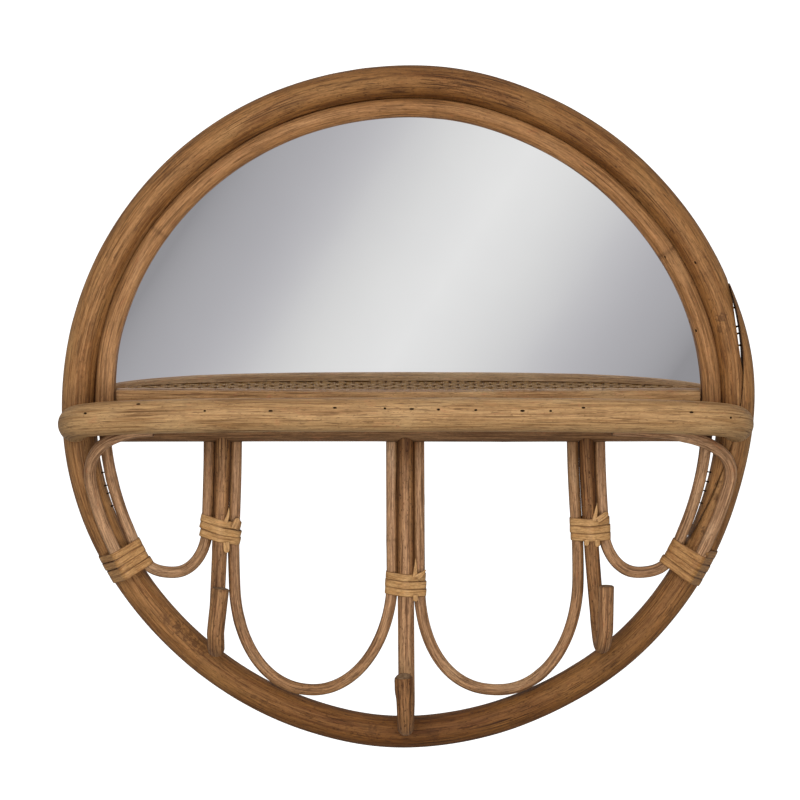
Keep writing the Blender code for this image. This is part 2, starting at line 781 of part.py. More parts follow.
def make_hoop_binding(side, leg):
    """A binding round the hoop, the brace in front of it and the scallop leg inside it."""
    data = HOOP_BINDINGS[side]
    middle = 0.0 if data["side"] > 0 else math.pi

    def angle_at(along):
        return data["angle"] + along / HOOP_RADIUS

    def members(along):
        leg_radius = radius_on(leg, angle_at(along))
        angle = middle - data["side"] * angle_at(along)
        found = [(hoop_axis(angle) - HOOP_RADIUS, 0.0, hoop_pole(angle))]
        brace_radius, brace_y = brace_seat(side, angle_at(along))
        found.append((brace_radius - HOOP_RADIUS, brace_y - HOOP_Y, CANE_R))
        found.append((leg_radius - HOOP_RADIUS, INFILL_Y - HOOP_Y, CANE_R * LEG_SLANT))
        return found

    def place(along, out, ahead):
        angle = middle - data["side"] * angle_at(along)
        return polar(angle, HOOP_RADIUS + out, HOOP_Y + ahead)

    rings = binding_rings(members, place, data["turns"], PEEL_WIDTH)
    return skin("hoop_binding_" + side, rings, RATTAN_PEEL, loop=True)


def make_hanger():
    """A steel plate behind the hoop's top, with a keyhole below it for the wall's screw."""
    half = HANGER_WIDTH / 2
    foot, top = -HANGER_BELOW, HANGER_ABOVE
    outline = [(-half, foot), (half, foot), (half, top), (-half, top)]
    plate = upright_slab("hanger_plate", outline, -HANGER_THICK, 0.0, STEEL)
    keyhole = []
    bore = KEYHOLE_BORE / 2
    slot = KEYHOLE_SLOT / 2
    neck = math.asin(slot / bore)
    for k in range(13):
        turn = math.pi / 2 + neck + (2 * math.pi - 2 * neck) * k / 12
        keyhole.append((bore * math.cos(turn), -KEYHOLE_DROP + bore * math.sin(turn)))
    crown = -KEYHOLE_DROP + KEYHOLE_RISE
    for k in range(7):
        turn = math.pi * k / 6
        keyhole.append((slot * math.cos(turn), crown + slot * math.sin(turn)))
    past = HANGER_THICK
    cutter = upright_slab("keyhole_cutter", keyhole, -HANGER_THICK - past, past, STEEL)
    cutter.hide_render = True
    cutter.display_type = "WIRE"
    cut = plate.modifiers.new("keyhole", "BOOLEAN")
    cut.operation = "DIFFERENCE"
    cut.solver = "EXACT"
    cut.object = cutter
    return plate


def build():
    clear_scene()
    make_hoop()
    make_bead()
    make_glass_and_board()
    make_rear_rail()
    make_strip()
    make_front_rail()
    make_shelf()
    inner = {side: inner_scallop_path(sign) for side, sign in (("left", -1), ("right", 1))}
    outer = {side: outer_scallop_path(sign) for side, sign in (("left", -1), ("right", 1))}
    for side in ("left", "right"):
        pole("scallop_inner_" + side, inner[side], CANE_R, CANE_SIDES, RATTAN_CANE)
        pole("scallop_outer_" + side, outer[side], CANE_R, CANE_SIDES, RATTAN_CANE)
    for side, sign in (("left", -1), ("right", 1)):
        pole("brace_" + side, brace_path(sign), CANE_R, CANE_SIDES, RATTAN_CANE)
    for side in STRUTS:
        make_strut(side)
    make_strut_binding("left", (outer["left"][::-1], inner["left"]))
    make_strut_binding("middle", (inner["left"][::-1], inner["right"][::-1]))
    make_strut_binding("right", (inner["right"], outer["right"][::-1]))
    for side in HOOP_BINDINGS:
        make_hoop_binding(side, outer[side])
    make_hanger()


build()
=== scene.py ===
"""Looks of the round rattan wall mirror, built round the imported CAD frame."""
import math

import bpy
import numpy as np
from mathutils import Matrix, Vector


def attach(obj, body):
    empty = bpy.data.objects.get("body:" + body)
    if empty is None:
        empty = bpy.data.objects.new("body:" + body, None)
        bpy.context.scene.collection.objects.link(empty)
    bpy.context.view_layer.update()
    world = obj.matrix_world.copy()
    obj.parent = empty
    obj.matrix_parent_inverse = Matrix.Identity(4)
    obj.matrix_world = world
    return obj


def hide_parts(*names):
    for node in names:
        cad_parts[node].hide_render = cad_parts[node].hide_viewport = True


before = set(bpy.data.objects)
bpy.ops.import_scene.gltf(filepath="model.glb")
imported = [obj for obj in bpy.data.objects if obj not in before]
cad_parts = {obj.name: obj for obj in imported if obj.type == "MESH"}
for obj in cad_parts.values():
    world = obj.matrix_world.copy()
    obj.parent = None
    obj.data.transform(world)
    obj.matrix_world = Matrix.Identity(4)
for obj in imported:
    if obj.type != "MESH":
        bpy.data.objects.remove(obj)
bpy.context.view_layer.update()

TOUCH = 0.0003
PI = math.pi

# Sizes, the same as the solids have
HOOP_R = 0.0155
HOOP_RADIUS = 0.2895
CENTRE_Z = -HOOP_RADIUS
HOOP_Y = -0.0178
HOOP_THINNING = 0.0020
HOOP_THINS_OVER = 1.6
SCARF_LOW = math.radians(-24.0)
SCARF_HIGH = math.radians(21.6)
SCARF_TIP = 0.0016
SCARF_GAP = 0.0005
SCARF_SPRING = 0.0026
SCARF_SPRING_MIDDLE = math.radians(6.5)
SCARF_SPRING_STRETCH = math.radians(22.0)
SCARF_SLIT = 0.0027
SCARF_SLIT_MIDDLE = math.radians(13.2)
SCARF_SLIT_STRETCH = math.radians(6.0)
HOOP_BENDS = {
    "right": (math.radians(12.0), math.radians(34.0), 0.0026),
    "top": (math.radians(82.0), math.radians(18.0), 0.0011),
    "upper_left": (math.radians(130.0), math.radians(50.0), 0.0006),
    "lower_left": (math.radians(226.0), math.radians(40.0), -0.0032),
    "foot": (math.radians(268.0), math.radians(16.0), 0.0011),
    "lower_right": (math.radians(297.0), math.radians(18.0), -0.0010),
}
BEAD_R = 0.0083
BEAD_INSET = 0.0213
BEAD_RADIUS = HOOP_RADIUS - BEAD_INSET
BEAD_Y = HOOP_Y - math.sqrt((HOOP_R + BEAD_R + TOUCH) ** 2 - BEAD_INSET ** 2)
BEAD_BENDS = {
    "left_foot": (math.radians(178.0), math.radians(14.0), -0.0022),
}
GLASS_FRONT = BEAD_Y + BEAD_R + TOUCH
INFILL_FORWARD = 0.0105
RAIL_BELOW_CENTRE = 0.0111
REAR_R = 0.015
REAR_Y = HOOP_Y - INFILL_FORWARD
REAR_Z = CENTRE_Z - RAIL_BELOW_CENTRE
REAR_TOP = REAR_Z + REAR_R
REAR_END_PLAY = 0.0024
REAR_HALF = math.sqrt((HOOP_RADIUS - HOOP_R) ** 2 - (RAIL_BELOW_CENTRE + REAR_R) ** 2) - REAR_END_PLAY
STRIP_END_PLAY = 0.0018
STRIP_THICK = 0.0088
STRIP_HEIGHT = 0.0153
STRIP_SAG = 0.0014
STRIP_LOW = REAR_TOP + TOUCH
STRIP_HIGH = STRIP_LOW + STRIP_HEIGHT
STRIP_BACK = GLASS_FRONT - TOUCH
STRIP_FRONT = STRIP_BACK - STRIP_THICK
FRONT_R = 0.015
FRONT_PAST_HOOP = 0.0023
FRONT_HALF = HOOP_RADIUS + FRONT_PAST_HOOP
FRONT_REACH = 0.0705
FRONT_SQUARENESS = 3.0
FRONT_RISE = math.tan(math.radians(15.7))
FRONT_END_Y = HOOP_Y - HOOP_R - TOUCH
FRONT_END_Z = CENTRE_Z - RAIL_BELOW_CENTRE
FRONT_COPE = 0.006
SHELF_INSET = 0.0398
SHELF_HALF = FRONT_HALF - SHELF_INSET
SHELF_BELOW_RAIL_TOP = 0.0065
SHELF_ABOVE_REAR_RAIL = 0.0012
SHELF_THICK = 0.003
SHELF_REAR = STRIP_FRONT - TOUCH
WEAVE_LIFT = 0.0006
WEAVE_OFF_RAIL = 0.0002
WEAVE_PITCH_ACROSS = 0.00725
WEAVE_PITCH_DEEP = 0.0052
WEAVE_FIRST_ROW = 0.0030
WEAVE_RISE = 0.00045
WEAVE_THICK = 0.0006
WEAVE_ROW_WIDTH = 0.0049
WEAVE_COLUMN_WIDTH = 0.0056
WEAVE_ROW_CLEAR = 0.0015
WEAVE_END_STEP = 0.001
WEAVE_SHORTEST = 0.006
WEAVE_POINTS_A_PITCH = 6
# A thin dark strand along the weave's front edge: a painted shadow line against the rail
SHADOW_LINE_IN = 0.012
SHADOW_LINE_WIDTH = 0.0012
SHADOW_LINE_THICK = 0.0008
REED_IN = 0.006
REED_WIDTH = 0.0028
REED_THICK = 0.0012
RAIL_DRESSED = 0.984
INFILL_Y = REAR_Y
CANE_R = 0.0052
STRUT_R = 0.0072
STRUT_FORWARD = 0.0045
STRUT_Y = INFILL_Y - STRUT_FORWARD
LEG_BEVEL = 0.0010
LEG_TOP = REAR_Z - REAR_R - TOUCH
LEG_SPACING = math.sqrt((STRUT_R + CANE_R + TOUCH) ** 2 - STRUT_FORWARD ** 2)
HOOK_BEND = 0.020
PRONG_Y = STRUT_Y - 2 * HOOK_BEND
STRUT_LEAN_POWER = 1.4
STRUTS = {
    "left": {"top": -0.5589, "foot": -0.5872, "root": -0.5769, "tip": -0.5623,
             "low": -0.7402, "high": -0.5181},
    "middle": {"top": -0.0017, "foot": 0.0035, "root": -0.0021, "tip": -0.0069,
               "low": -0.9862, "high": -0.7841},
    "right": {"top": 0.5506, "foot": 0.5985, "root": 0.6069, "tip": 0.6086,
              "low": -0.7323, "high": -0.5095},
}
INNER_LOW = 0.8636
INNER_SPRING = 0.5112
INNER_DRAW = 0.0021
INNER_SQUARENESS = {"left": (2.15, 2.0), "right": (2.08, 2.27)}
OUTER_LOW = 0.4960
OUTER_SPRING = 0.3523
OUTER_CENTRE = 0.7123
OUTER_TURN = 0.0898
OUTER_TURN_INWARD = 0.7
OUTER_TURN_UP = 0.8
OUTER_LEG_INSET_TOP = 0.0227
OUTER_LEG_INSET_FOOT = {"left": 0.0223, "right": 0.0214}
OUTER_LEG_FOOT_ANGLE = math.radians(23.5)
BRACE_OFFSET = HOOP_R + CANE_R + TOUCH
BRACE_FOOT_ANGLE = math.radians(28.6)
BRACES = {
    "left": {"inward_foot": 0.0026, "inward_top": 0.0042, "leaves": math.radians(14.0),
             "lift": 0.022, "along_rail": 0.060, "end": 0.7600},
    "right": {"inward_foot": 0.0, "inward_top": -0.0025, "leaves": math.radians(12.5),
              "lift": 0.046, "along_rail": 0.045, "end": 0.6200},
}
PEEL_THICK = 0.0007
PEEL_PLAY = 0.0001
PEEL_OVER = 0.0003
PEEL_WIDTH = 0.0069
PEEL_END_THICK = 0.0009
STRUT_BINDINGS = {
    "left": {"height": -0.3606, "slope": -0.26},
    "middle": {"height": -0.5299, "slope": -0.07},
    "right": {"height": -0.3582, "slope": 0.02},
}
HOOP_BINDINGS = {
    "left": {"angle": math.radians(28.15), "tone": 1.0},
    "right": {"angle": math.radians(28.2), "tone": 0.86},
}


# Small helpers

def clamp(value):
    return min(max(value, 0.0), 1.0)


def bell(away, width):
    """The height of a smooth bump, by the distance from its middle."""
    return np.exp(-(away / width) ** 2)


def look_up(table, at):
    """The value at a place, from a table of places and values."""
    places, values = zip(*table)
    return np.interp(at, places, values)


def unit_rows(rows):
    return rows / np.linalg.norm(rows, axis=1)[:, None]


def run_along(path):
    """How far along the path each of its points lies."""
    return np.concatenate([[0.0], np.cumsum(np.linalg.norm(np.diff(path, axis=0), axis=1))])


def around(count):
    return 2 * PI * np.arange(count) / count


def band(first, second, count):
    """Quads between two closed rows of points, by the numbers of their first points."""
    return [(first + k, first + (k + 1) % count, second + (k + 1) % count, second + k)
            for k in range(count)]


def fan(first, count, middle):
    """Triangles between a closed row of points and one point in its middle."""
    return [(first + k, first + (k + 1) % count, middle) for k in range(count)]


def lid(first, count):
    return tuple(range(first, first + count))


def flipped(faces):
    return [face[::-1] for face in faces]


def side_name(direction):
    return "left" if direction < 0 else "right"


def hoop_angle(direction, drop):
    """The angle round the hoop of a place on its left or right, at an angle below level."""
    return -drop if direction > 0 else PI + drop


def outward(angle):
    return Vector((math.cos(angle), 0.0, math.sin(angle)))


# Node materials

class Net:
    """Small helper that lays out one material's nodes."""

    def __init__(self, name):
        self.mat = bpy.data.materials.new(name)
        self.mat.use_nodes = True
        self.tree = self.mat.node_tree
        self.shader = self.tree.nodes["Principled BSDF"]

    def node(self, kind, **values):
        made = self.tree.nodes.new(kind)
        for key, value in values.items():
            setattr(made, key, value)
        return made

    def link(self, source, target):
        self.tree.links.new(source, target)

    def set(self, made, **values):
        for key, value in values.items():
            made.inputs[key.replace("_", " ")].default_value = value

    def noise(self, vector, scale, detail=3.0, rough=0.55, distort=0.0):
        made = self.node("ShaderNodeTexNoise")
        self.link(vector, made.inputs["Vector"])
        self.set(made, Scale=scale, Detail=detail, Roughness=rough, Distortion=distort)
        return made.outputs["Fac"]

    def drawn(self, vector, along, *values):
        """Noise drawn out along the cane: the smaller along is, the longer its streaks are."""
        made = self.node("ShaderNodeVectorMath", operation="MULTIPLY")
        self.link(vector, made.inputs[0])
        made.inputs[1].default_value = (1.0, 1.0, along)
        return self.noise(made.outputs[0], *values)

    def ramp(self, value, low, high, first=0.0, last=1.0):
        made = self.node("ShaderNodeMapRange", interpolation_type="SMOOTHSTEP")
        self.link(value, made.inputs["Value"])
        self.set(made, From_Min=low, From_Max=high, To_Min=first, To_Max=last)
        return made.outputs["Result"]

    def math(self, operation, a, b=None, clamp=False):
        made = self.node("ShaderNodeMath", operation=operation, use_clamp=clamp)
        for socket, value in zip(made.inputs, (a, b)):
            if isinstance(value, (int, float)):
                socket.default_value = value
            elif value is not None:
                self.link(value, socket)
        return made.outputs[0]

    def times(self, a, b, clamp=False):
        return self.math("MULTIPLY", a, b, clamp)

    def mix(self, share, first, second, blend="MIX"):
        made = self.node("ShaderNodeMix", data_type="RGBA", blend_type=blend)
        for number, value in ((0, share), (6, first), (7, second)):
            socket = made.inputs[number]
            if isinstance(value, tuple):
                socket.default_value = (*value, 1.0)
            elif isinstance(value, (int, float)):
                socket.default_value = value
            else:
                self.link(value, socket)
        return made.outputs[2]

    def bump(self, height, strength, distance):
        made = self.node("ShaderNodeBump")
        self.link(height, made.inputs["Height"])
        self.set(made, Strength=strength, Distance=distance)
        return made.outputs["Normal"]

    def grey(self, colour, shade, powers=(1.0, 1.0, 1.0)):
        """The colour times a shade; the powers let it also turn warmer as it darkens."""
        tint = self.node("ShaderNodeCombineColor")
        for socket, power in zip(tint.inputs, powers):
            self.link(shade if power == 1.0 else self.math("POWER", shade, power), socket)
        return self.mix(1.0, colour, tint.outputs[0], "MULTIPLY")

    def attribute(self, name, output="Vector"):
        return self.node("ShaderNodeAttribute", attribute_name=name).outputs[output]

    def place(self):
        return self.node("ShaderNodeTexCoord").outputs["Object"]

    def wear(self, colour, rough=None, normal=None, **uniform):
        """Drive the shader's colour, roughness and relief, and set what is uniform on it."""
        for source, name in ((colour, "Base Color"), (rough, "Roughness"), (normal, "Normal")):
            if source is not None:
                self.link(source, self.shader.inputs[name])
        self.set(self.shader, **uniform)
        return self.mat


# How much more the green and the blue darken than the red where a tone is below one
WARMING = (1.0, 1.3, 1.9)
GRIME = (0.085, 0.036, 0.014)


def rattan(name, dark, base, light, lines=0.6, warm=(0.40, 0.15, 0.06), stain=0.3, pits=0.6,
           contrast=1.0, spots=()):
    """Peeled rattan: fine dark lines and dashes along it, patches of colour, stained joints.

    spots are stains at places on the object: x, y, z, how far each reaches and how dark it is.
    """
    net = Net(name)
    grain = net.attribute("grain")
    knot = net.attribute("knot", "Fac")
    tone = net.attribute("tone", "Fac")
    strand = net.drawn(grain, 0.030, 480.0, 4.0, 0.65, 0.3)
    fibre = net.drawn(grain, 0.045, 1000.0, 4.0, 0.65)
    speckle = net.drawn(grain, 0.30, 700.0, 3.0, 0.7)
    patch = net.drawn(grain, 0.30, 34.0, 3.0, 0.55, 0.5)
    blotch = net.drawn(grain, 0.45, 150.0, 4.0, 0.65, 0.8)
    colour = net.mix(net.ramp(strand, 0.34, 0.60), dark, base)
    colour = net.mix(net.ramp(patch, 0.48, 0.70, 0.0, 0.8), colour, light)
    colour = net.mix(net.ramp(blotch, 0.56, 0.74, 0.0, 0.50), colour, warm)
    colour = net.grey(colour, net.ramp(fibre, 0.30, 0.66, 1 - 0.38 * contrast, 1 + 0.21 * contrast))
    colour = net.grey(colour, net.ramp(speckle, 0.32, 0.66, 1 - 0.16 * contrast, 1 + 0.12 * contrast))
    line = net.drawn(grain, 0.020, 800.0, 2.0, 0.5, 0.2)
    line = net.ramp(line, 0.34, 0.42, 1.0, 0.0)
    where = net.ramp(net.drawn(grain, 0.12, 70.0, 2.0), 0.40, 0.58)
    line = net.times(line, where)
    dash = net.drawn(grain, 0.085, 700.0, 2.0, 0.5)
    dash = net.ramp(dash, 0.60, 0.69)
    marks = net.math("MAXIMUM", line, net.times(dash, 0.75))
    pores = net.ramp(net.drawn(grain, 0.40, 760.0, 2.0, 0.5), 0.61, 0.70)
    marks = net.math("MAXIMUM", marks, net.times(pores, pits))
    shaded = net.ramp(tone, 0.5, 1.0, 1.45, 1.0)
    marks = net.times(marks, shaded)
    colour = net.mix(net.times(marks, lines, True), colour, (0.075, 0.029, 0.010))
    cloud = net.drawn(grain, 0.40, 62.0, 5.0, 0.7, 0.6)
    worn = net.times(knot, net.ramp(blotch, 0.30, 0.60, 0.40, 1.0))
    worn = net.math("MAXIMUM", worn, net.ramp(cloud, 0.56, 0.72, 0.0, stain))
    if spots:
        place = net.place()
        shaken = net.noise(place, 420.0, 3.0)
        for x, y, z, reach, depth in spots:
            far = net.node("ShaderNodeVectorMath", operation="DISTANCE")
            net.link(place, far.inputs[0])
            far.inputs[1].default_value = (x, y, z)
            ragged = net.ramp(shaken, 0.3, 0.7, -0.6 * reach, 0.6 * reach)
            edge = net.math("ADD", far.outputs["Value"], ragged)
            worn = net.math("MAXIMUM", worn, net.ramp(edge, 0.35 * reach, 1.15 * reach, depth, 0.0))
    colour = net.mix(net.times(worn, 0.75), colour, GRIME)
    # The tone scales the colour; on some pieces it carries painted light and shade
    colour = net.grey(colour, tone, WARMING)
    height = net.math("ADD", net.times(fibre, 0.6), net.times(strand, 0.6))
    height = net.math("ADD", height, net.times(speckle, 0.4))
    height = net.math("SUBTRACT", height, net.times(marks, 0.9))
    rough = net.ramp(fibre, 0.3, 0.7, 0.62, 0.48)
    return net.wear(colour, rough, net.bump(height, 0.6, 0.0005), Specular_IOR_Level=0.25)


def end_grain():
    """The cut end of a cane: pale pith full of small dark pores, its rim stained."""
    net = Net("rattan_end_grain")
    place = net.attribute("grain")
    rim = net.attribute("knot", "Fac")
    cells = net.node("ShaderNodeTexVoronoi", feature="F1")
    net.link(place, cells.inputs["Vector"])
    net.set(cells, Scale=1300.0, Randomness=0.8)
    pores = net.ramp(cells.outputs["Distance"], 0.12, 0.34)
    stain = net.noise(place, 240.0, 3.0)
    colour = net.mix(net.ramp(stain, 0.35, 0.7), (0.15, 0.080, 0.036), (0.30, 0.19, 0.100))
    colour = net.mix(pores, (0.060, 0.030, 0.013), colour)
    colour = net.mix(net.ramp(rim, 0.70, 1.0, 0.0, 0.75), colour, GRIME)
    return net.wear(colour, None, net.bump(pores, 0.5, 0.0003), Roughness=0.82)


def peel(name, dark, base, stain):
    """Flat golden peel: satin skin side, fine lines along it, darker at its edges."""
    net = Net(name)
    grain = net.attribute("grain")
    edge = net.attribute("knot", "Fac")
    fibre = net.drawn(grain, 0.07, 1200.0, 4.0, 0.65)
    patch = net.drawn(grain, 0.6, 130.0, 4.0, 0.6, 0.6)
    speckle = net.drawn(grain, 0.5, 700.0, 3.0, 0.7)
    colour = net.mix(net.ramp(fibre, 0.30, 0.62), dark, base)
    colour = net.mix(net.ramp(patch, 0.46, 0.70, 0.0, 0.8), colour, stain)
    colour = net.grey(colour, net.ramp(speckle, 0.34, 0.66, 0.84, 1.12))
    line = net.drawn(grain, 0.04, 800.0, 2.0)
    colour = net.mix(net.ramp(line, 0.34, 0.42, 0.55, 0.0), colour, (0.17, 0.07, 0.02))
    colour = net.mix(net.times(edge, 0.90), colour, (0.110, 0.042, 0.013))
    colour = net.grey(colour, net.attribute("tone", "Fac"), WARMING)
    rough = net.ramp(fibre, 0.3, 0.7, 0.52, 0.40)
    return net.wear(colour, rough, net.bump(fibre, 0.5, 0.0003), Specular_IOR_Level=0.3)


def woven():
    """Flat cane of the shelf, a little greyed, with fibres along each strand."""
    net = Net("shelf_cane")
    grain = net.attribute("grain")
    fibre = net.drawn(grain, 0.05, 1500.0, 4.0, 0.6)
    patch = net.noise(grain, 22.0, 3.0, 0.5)
    colour = net.mix(net.ramp(fibre, 0.3, 0.65), (0.20, 0.093, 0.017), (0.40, 0.211, 0.042))
    colour = net.mix(net.ramp(patch, 0.45, 0.7, 0.0, 0.6), colour, (0.33, 0.160, 0.028))
    edge = net.times(net.attribute("knot", "Fac"), 0.7)
    colour = net.mix(edge, colour, (0.10, 0.048, 0.018))
    return net.wear(colour, net.ramp(fibre, 0.3, 0.7, 0.66, 0.52), net.bump(fibre, 0.4, 0.0003))


def silvered():
    """Silvered glass: nearly clear reflection with the faintest haze in places."""
    net = Net("silvered_glass_clean")
    place = net.place()
    haze = net.noise(place, 9.0, 3.0)
    dust = net.noise(place, 160.0, 2.0)
    colour = net.mix(net.ramp(haze, 0.3, 0.7), (0.935, 0.935, 0.945), (0.955, 0.955, 0.960))
    hazy = net.ramp(haze, 0.4, 0.8, 0.006, 0.020)
    dusty = net.ramp(dust, 0.68, 0.8, 0.0, 0.012)
    return net.wear(colour, net.math("ADD", hazy, dusty), Metallic=1.0)


def fibreboard():
    """Raw brown fibreboard with fine flecks."""
    net = Net("raw_fibreboard")
    place = net.place()
    fleck = net.drawn(place, 0.4, 900.0, 4.0, 0.7)
    cloud = net.noise(place, 14.0, 3.0)
    colour = net.mix(net.ramp(fleck, 0.35, 0.65), (0.20, 0.125, 0.070), (0.36, 0.245, 0.150))
    colour = net.mix(net.ramp(cloud, 0.4, 0.7, 0.0, 0.4), colour, (0.26, 0.170, 0.100))
    return net.wear(colour, net.ramp(fleck, 0.3, 0.7, 0.88, 0.74), net.bump(fleck, 0.3, 0.0003))


def metal(name, first, second, low, high, scale=120.0):
    """Plain metal with a mottled finish."""
    net = Net(name)
    spots = net.noise(net.place(), scale, 4.0, 0.6)
    colour = net.mix(net.ramp(spots, 0.35, 0.65), first, second)
    rough = net.ramp(spots, 0.3, 0.7, low, high)
    return net.wear(colour, rough, net.bump(spots, 0.2, 0.0002), Metallic=0.9)


# Stains on the hoop: x, y, z, how far each reaches and how dark it is
HOOP_SPOTS = (
    (0.2779, -0.0332, -0.2055, 0.0050, 0.9), (0.2764, -0.0332, -0.2160, 0.0040, 0.7),
    (0.2759, -0.0316, -0.3522, 0.0034, 0.9), (0.2748, -0.0325, -0.3647, 0.0036, 0.7),
    (0.2636, -0.0323, -0.3949, 0.0034, 0.9), (0.2911, -0.0200, -0.1909, 0.0040, 0.5),
    (-0.2118, -0.0313, -0.4738, 0.0055, 0.7), (-0.2018, -0.0313, -0.4831, 0.0065, 0.9),
    (-0.1937, -0.0313, -0.4903, 0.0060, 0.8), (-0.1867, -0.0313, -0.4965, 0.0055, 0.9),
    (-0.1797, -0.0313, -0.5016, 0.0055, 0.8), (-0.1354, -0.0325, -0.5439, 0.0028, 0.6),
    (-0.1273, -0.0325, -0.5491, 0.0026, 0.6),
    (0.0250, -0.0330, -0.5790, 0.0070, 0.5), (-0.0300, -0.0330, -0.5780, 0.0060, 0.5),
)
POLE = rattan("rattan_pole_weathered", (0.215, 0.090, 0.027), (0.390, 0.193, 0.071),
              (0.445, 0.236, 0.091), lines=0.68, warm=(0.37, 0.155, 0.054), stain=0.36,
              contrast=0.8, spots=HOOP_SPOTS)
BEAD = rattan("rattan_bead", (0.240, 0.110, 0.038), (0.455, 0.230, 0.094),
              (0.525, 0.285, 0.130), lines=0.50, stain=0.2, contrast=0.75)
CANE = rattan("rattan_cane_peeled", (0.240, 0.120, 0.054), (0.475, 0.265, 0.136),
              (0.540, 0.330, 0.185), lines=0.70, stain=0.3)
STRUT = rattan("rattan_strut", (0.190, 0.085, 0.034), (0.430, 0.225, 0.102),
               (0.490, 0.275, 0.125), lines=0.85, stain=0.7, pits=0.9)
RAIL = rattan("rattan_rail_peeled", (0.290, 0.150, 0.056), (0.475, 0.277, 0.118),
              (0.530, 0.330, 0.150), lines=0.70, warm=(0.47, 0.21, 0.09), stain=0.12,
              contrast=0.6)
# The rear rail's colours are about half as bright as the other canes': painted shade under the front
# rail
REAR = rattan("rattan_rear_rail_painted_shade", (0.120, 0.052, 0.020), (0.255, 0.130, 0.055),
              (0.280, 0.150, 0.068), lines=0.6)
STRIP = rattan("rattan_strip", (0.330, 0.165, 0.062), (0.530, 0.300, 0.125),
               (0.570, 0.360, 0.170), lines=0.65, warm=(0.55, 0.20, 0.10), stain=0.15,
               contrast=0.6)
END = end_grain()
PEEL = peel("peel_binding", (0.34, 0.170, 0.060), (0.59, 0.340, 0.138), (0.50, 0.255, 0.090))
PEEL_STAINED = peel("peel_binding_stained", (0.26, 0.120, 0.038), (0.52, 0.280, 0.105),
                    (0.33, 0.145, 0.045))
WOVEN = woven()
NAIL = metal("nail_iron", (0.018, 0.010, 0.006), (0.045, 0.024, 0.012), 0.55, 0.75, 900.0)
ZINC = metal("zinc_plate", (0.56, 0.57, 0.58), (0.68, 0.68, 0.67), 0.28, 0.42)


# Meshes

def new_piece(name, verts, faces, looks, grain=None, knot=None, slots=None, node=None,
              tone=None):
    """Make a mesh piece from arrays, with its grain coordinates, joint marks and tone."""
    mesh = bpy.data.meshes.new(name)
    mesh.from_pydata(np.asarray(verts).tolist(), [], faces)
    for look in looks:
        mesh.materials.append(look)
    if grain is not None:
        shades = np.ones(len(verts)) if tone is None else tone
        for key, kind, field, values in (("grain", "FLOAT_VECTOR", "vector", grain),
                                         ("knot", "FLOAT", "value", knot),
                                         ("tone", "FLOAT", "value", shades)):
            layer = mesh.attributes.new(key, kind, "POINT")
            layer.data.foreach_set(field, np.asarray(values, dtype=np.float32).ravel())
    if slots is not None:
        mesh.polygons.foreach_set("material_index", np.asarray(slots, dtype=np.int32))
    mesh.shade_smooth()
    mesh.set_sharp_from_angle(angle=math.radians(50))
    mesh.update()
    made = bpy.data.objects.new(name, mesh)
    bpy.context.scene.collection.objects.link(made)
    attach(made, "root")
    if node:
        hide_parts(node)
    return made


def resample(points, step):
    """A smooth curve through the points, with its own points about a step apart."""
    pts = np.array([list(p) for p in points])
    first = 2 * pts[0] - pts[1]
    last = 2 * pts[-1] - pts[-2]
    ctrl = np.vstack([first, pts, last])
    out = []
    for i in range(1, len(ctrl) - 2):
        p0, p1, p2, p3 = ctrl[i - 1:i + 3]
        count = max(1, int(round(np.linalg.norm(p2 - p1) / step)))
        for k in range(count):
            t = k / count
            out.append(0.5 * (2 * p1 + (p2 - p0) * t + (2 * p0 - 5 * p1 + 4 * p2 - p3) * t * t
                              + (3 * p1 - p0 - 3 * p2 + p3) * t ** 3))
    out.append(pts[-1])
    return np.array(out)


def frames_along(path):
    """Unit tangents and steady cross directions along an array of points."""
    tangents = unit_rows(np.gradient(path, axis=0))
    side = np.array([0.0, -1.0, 0.0])
    if abs(tangents[0] @ side) > 0.9:
        side = np.array([1.0, 0.0, 0.0])
    sides = []
    for tangent in tangents:
        side = side - tangent * (side @ tangent)
        side = side / np.linalg.norm(side)
        sides.append(side)
    sides = np.array(sides)
    return tangents, sides, np.cross(tangents, sides)


def rings_round(path, side, other, turn, size):
    """Closed rows of points round a path, each point its own size away from it."""
    spokes = (np.cos(turn)[None, :, None] * side[:, None, :]
              + np.sin(turn)[None, :, None] * other[:, None, :])
    return path[:, None, :] + size[:, :, None] * spokes


def lumps(length, phase):
    """Slow uneven swelling of a natural cane along its length."""
    return (0.5 * np.sin(length * 31.0 + phase) + 0.3 * np.sin(length * 73.0 + 2.1 * phase)
            + 0.2 * np.sin(length * 127.0 + 3.7 * phase))


def seat_under_rail(y, z):
    """The height at which a leg's top meets the rear rail's underside, or its own height."""
    off = abs(y - REAR_Y)
    if off >= REAR_R:
        return z
    return max(z, REAR_Z - math.sqrt((REAR_R + TOUCH) ** 2 - off ** 2))


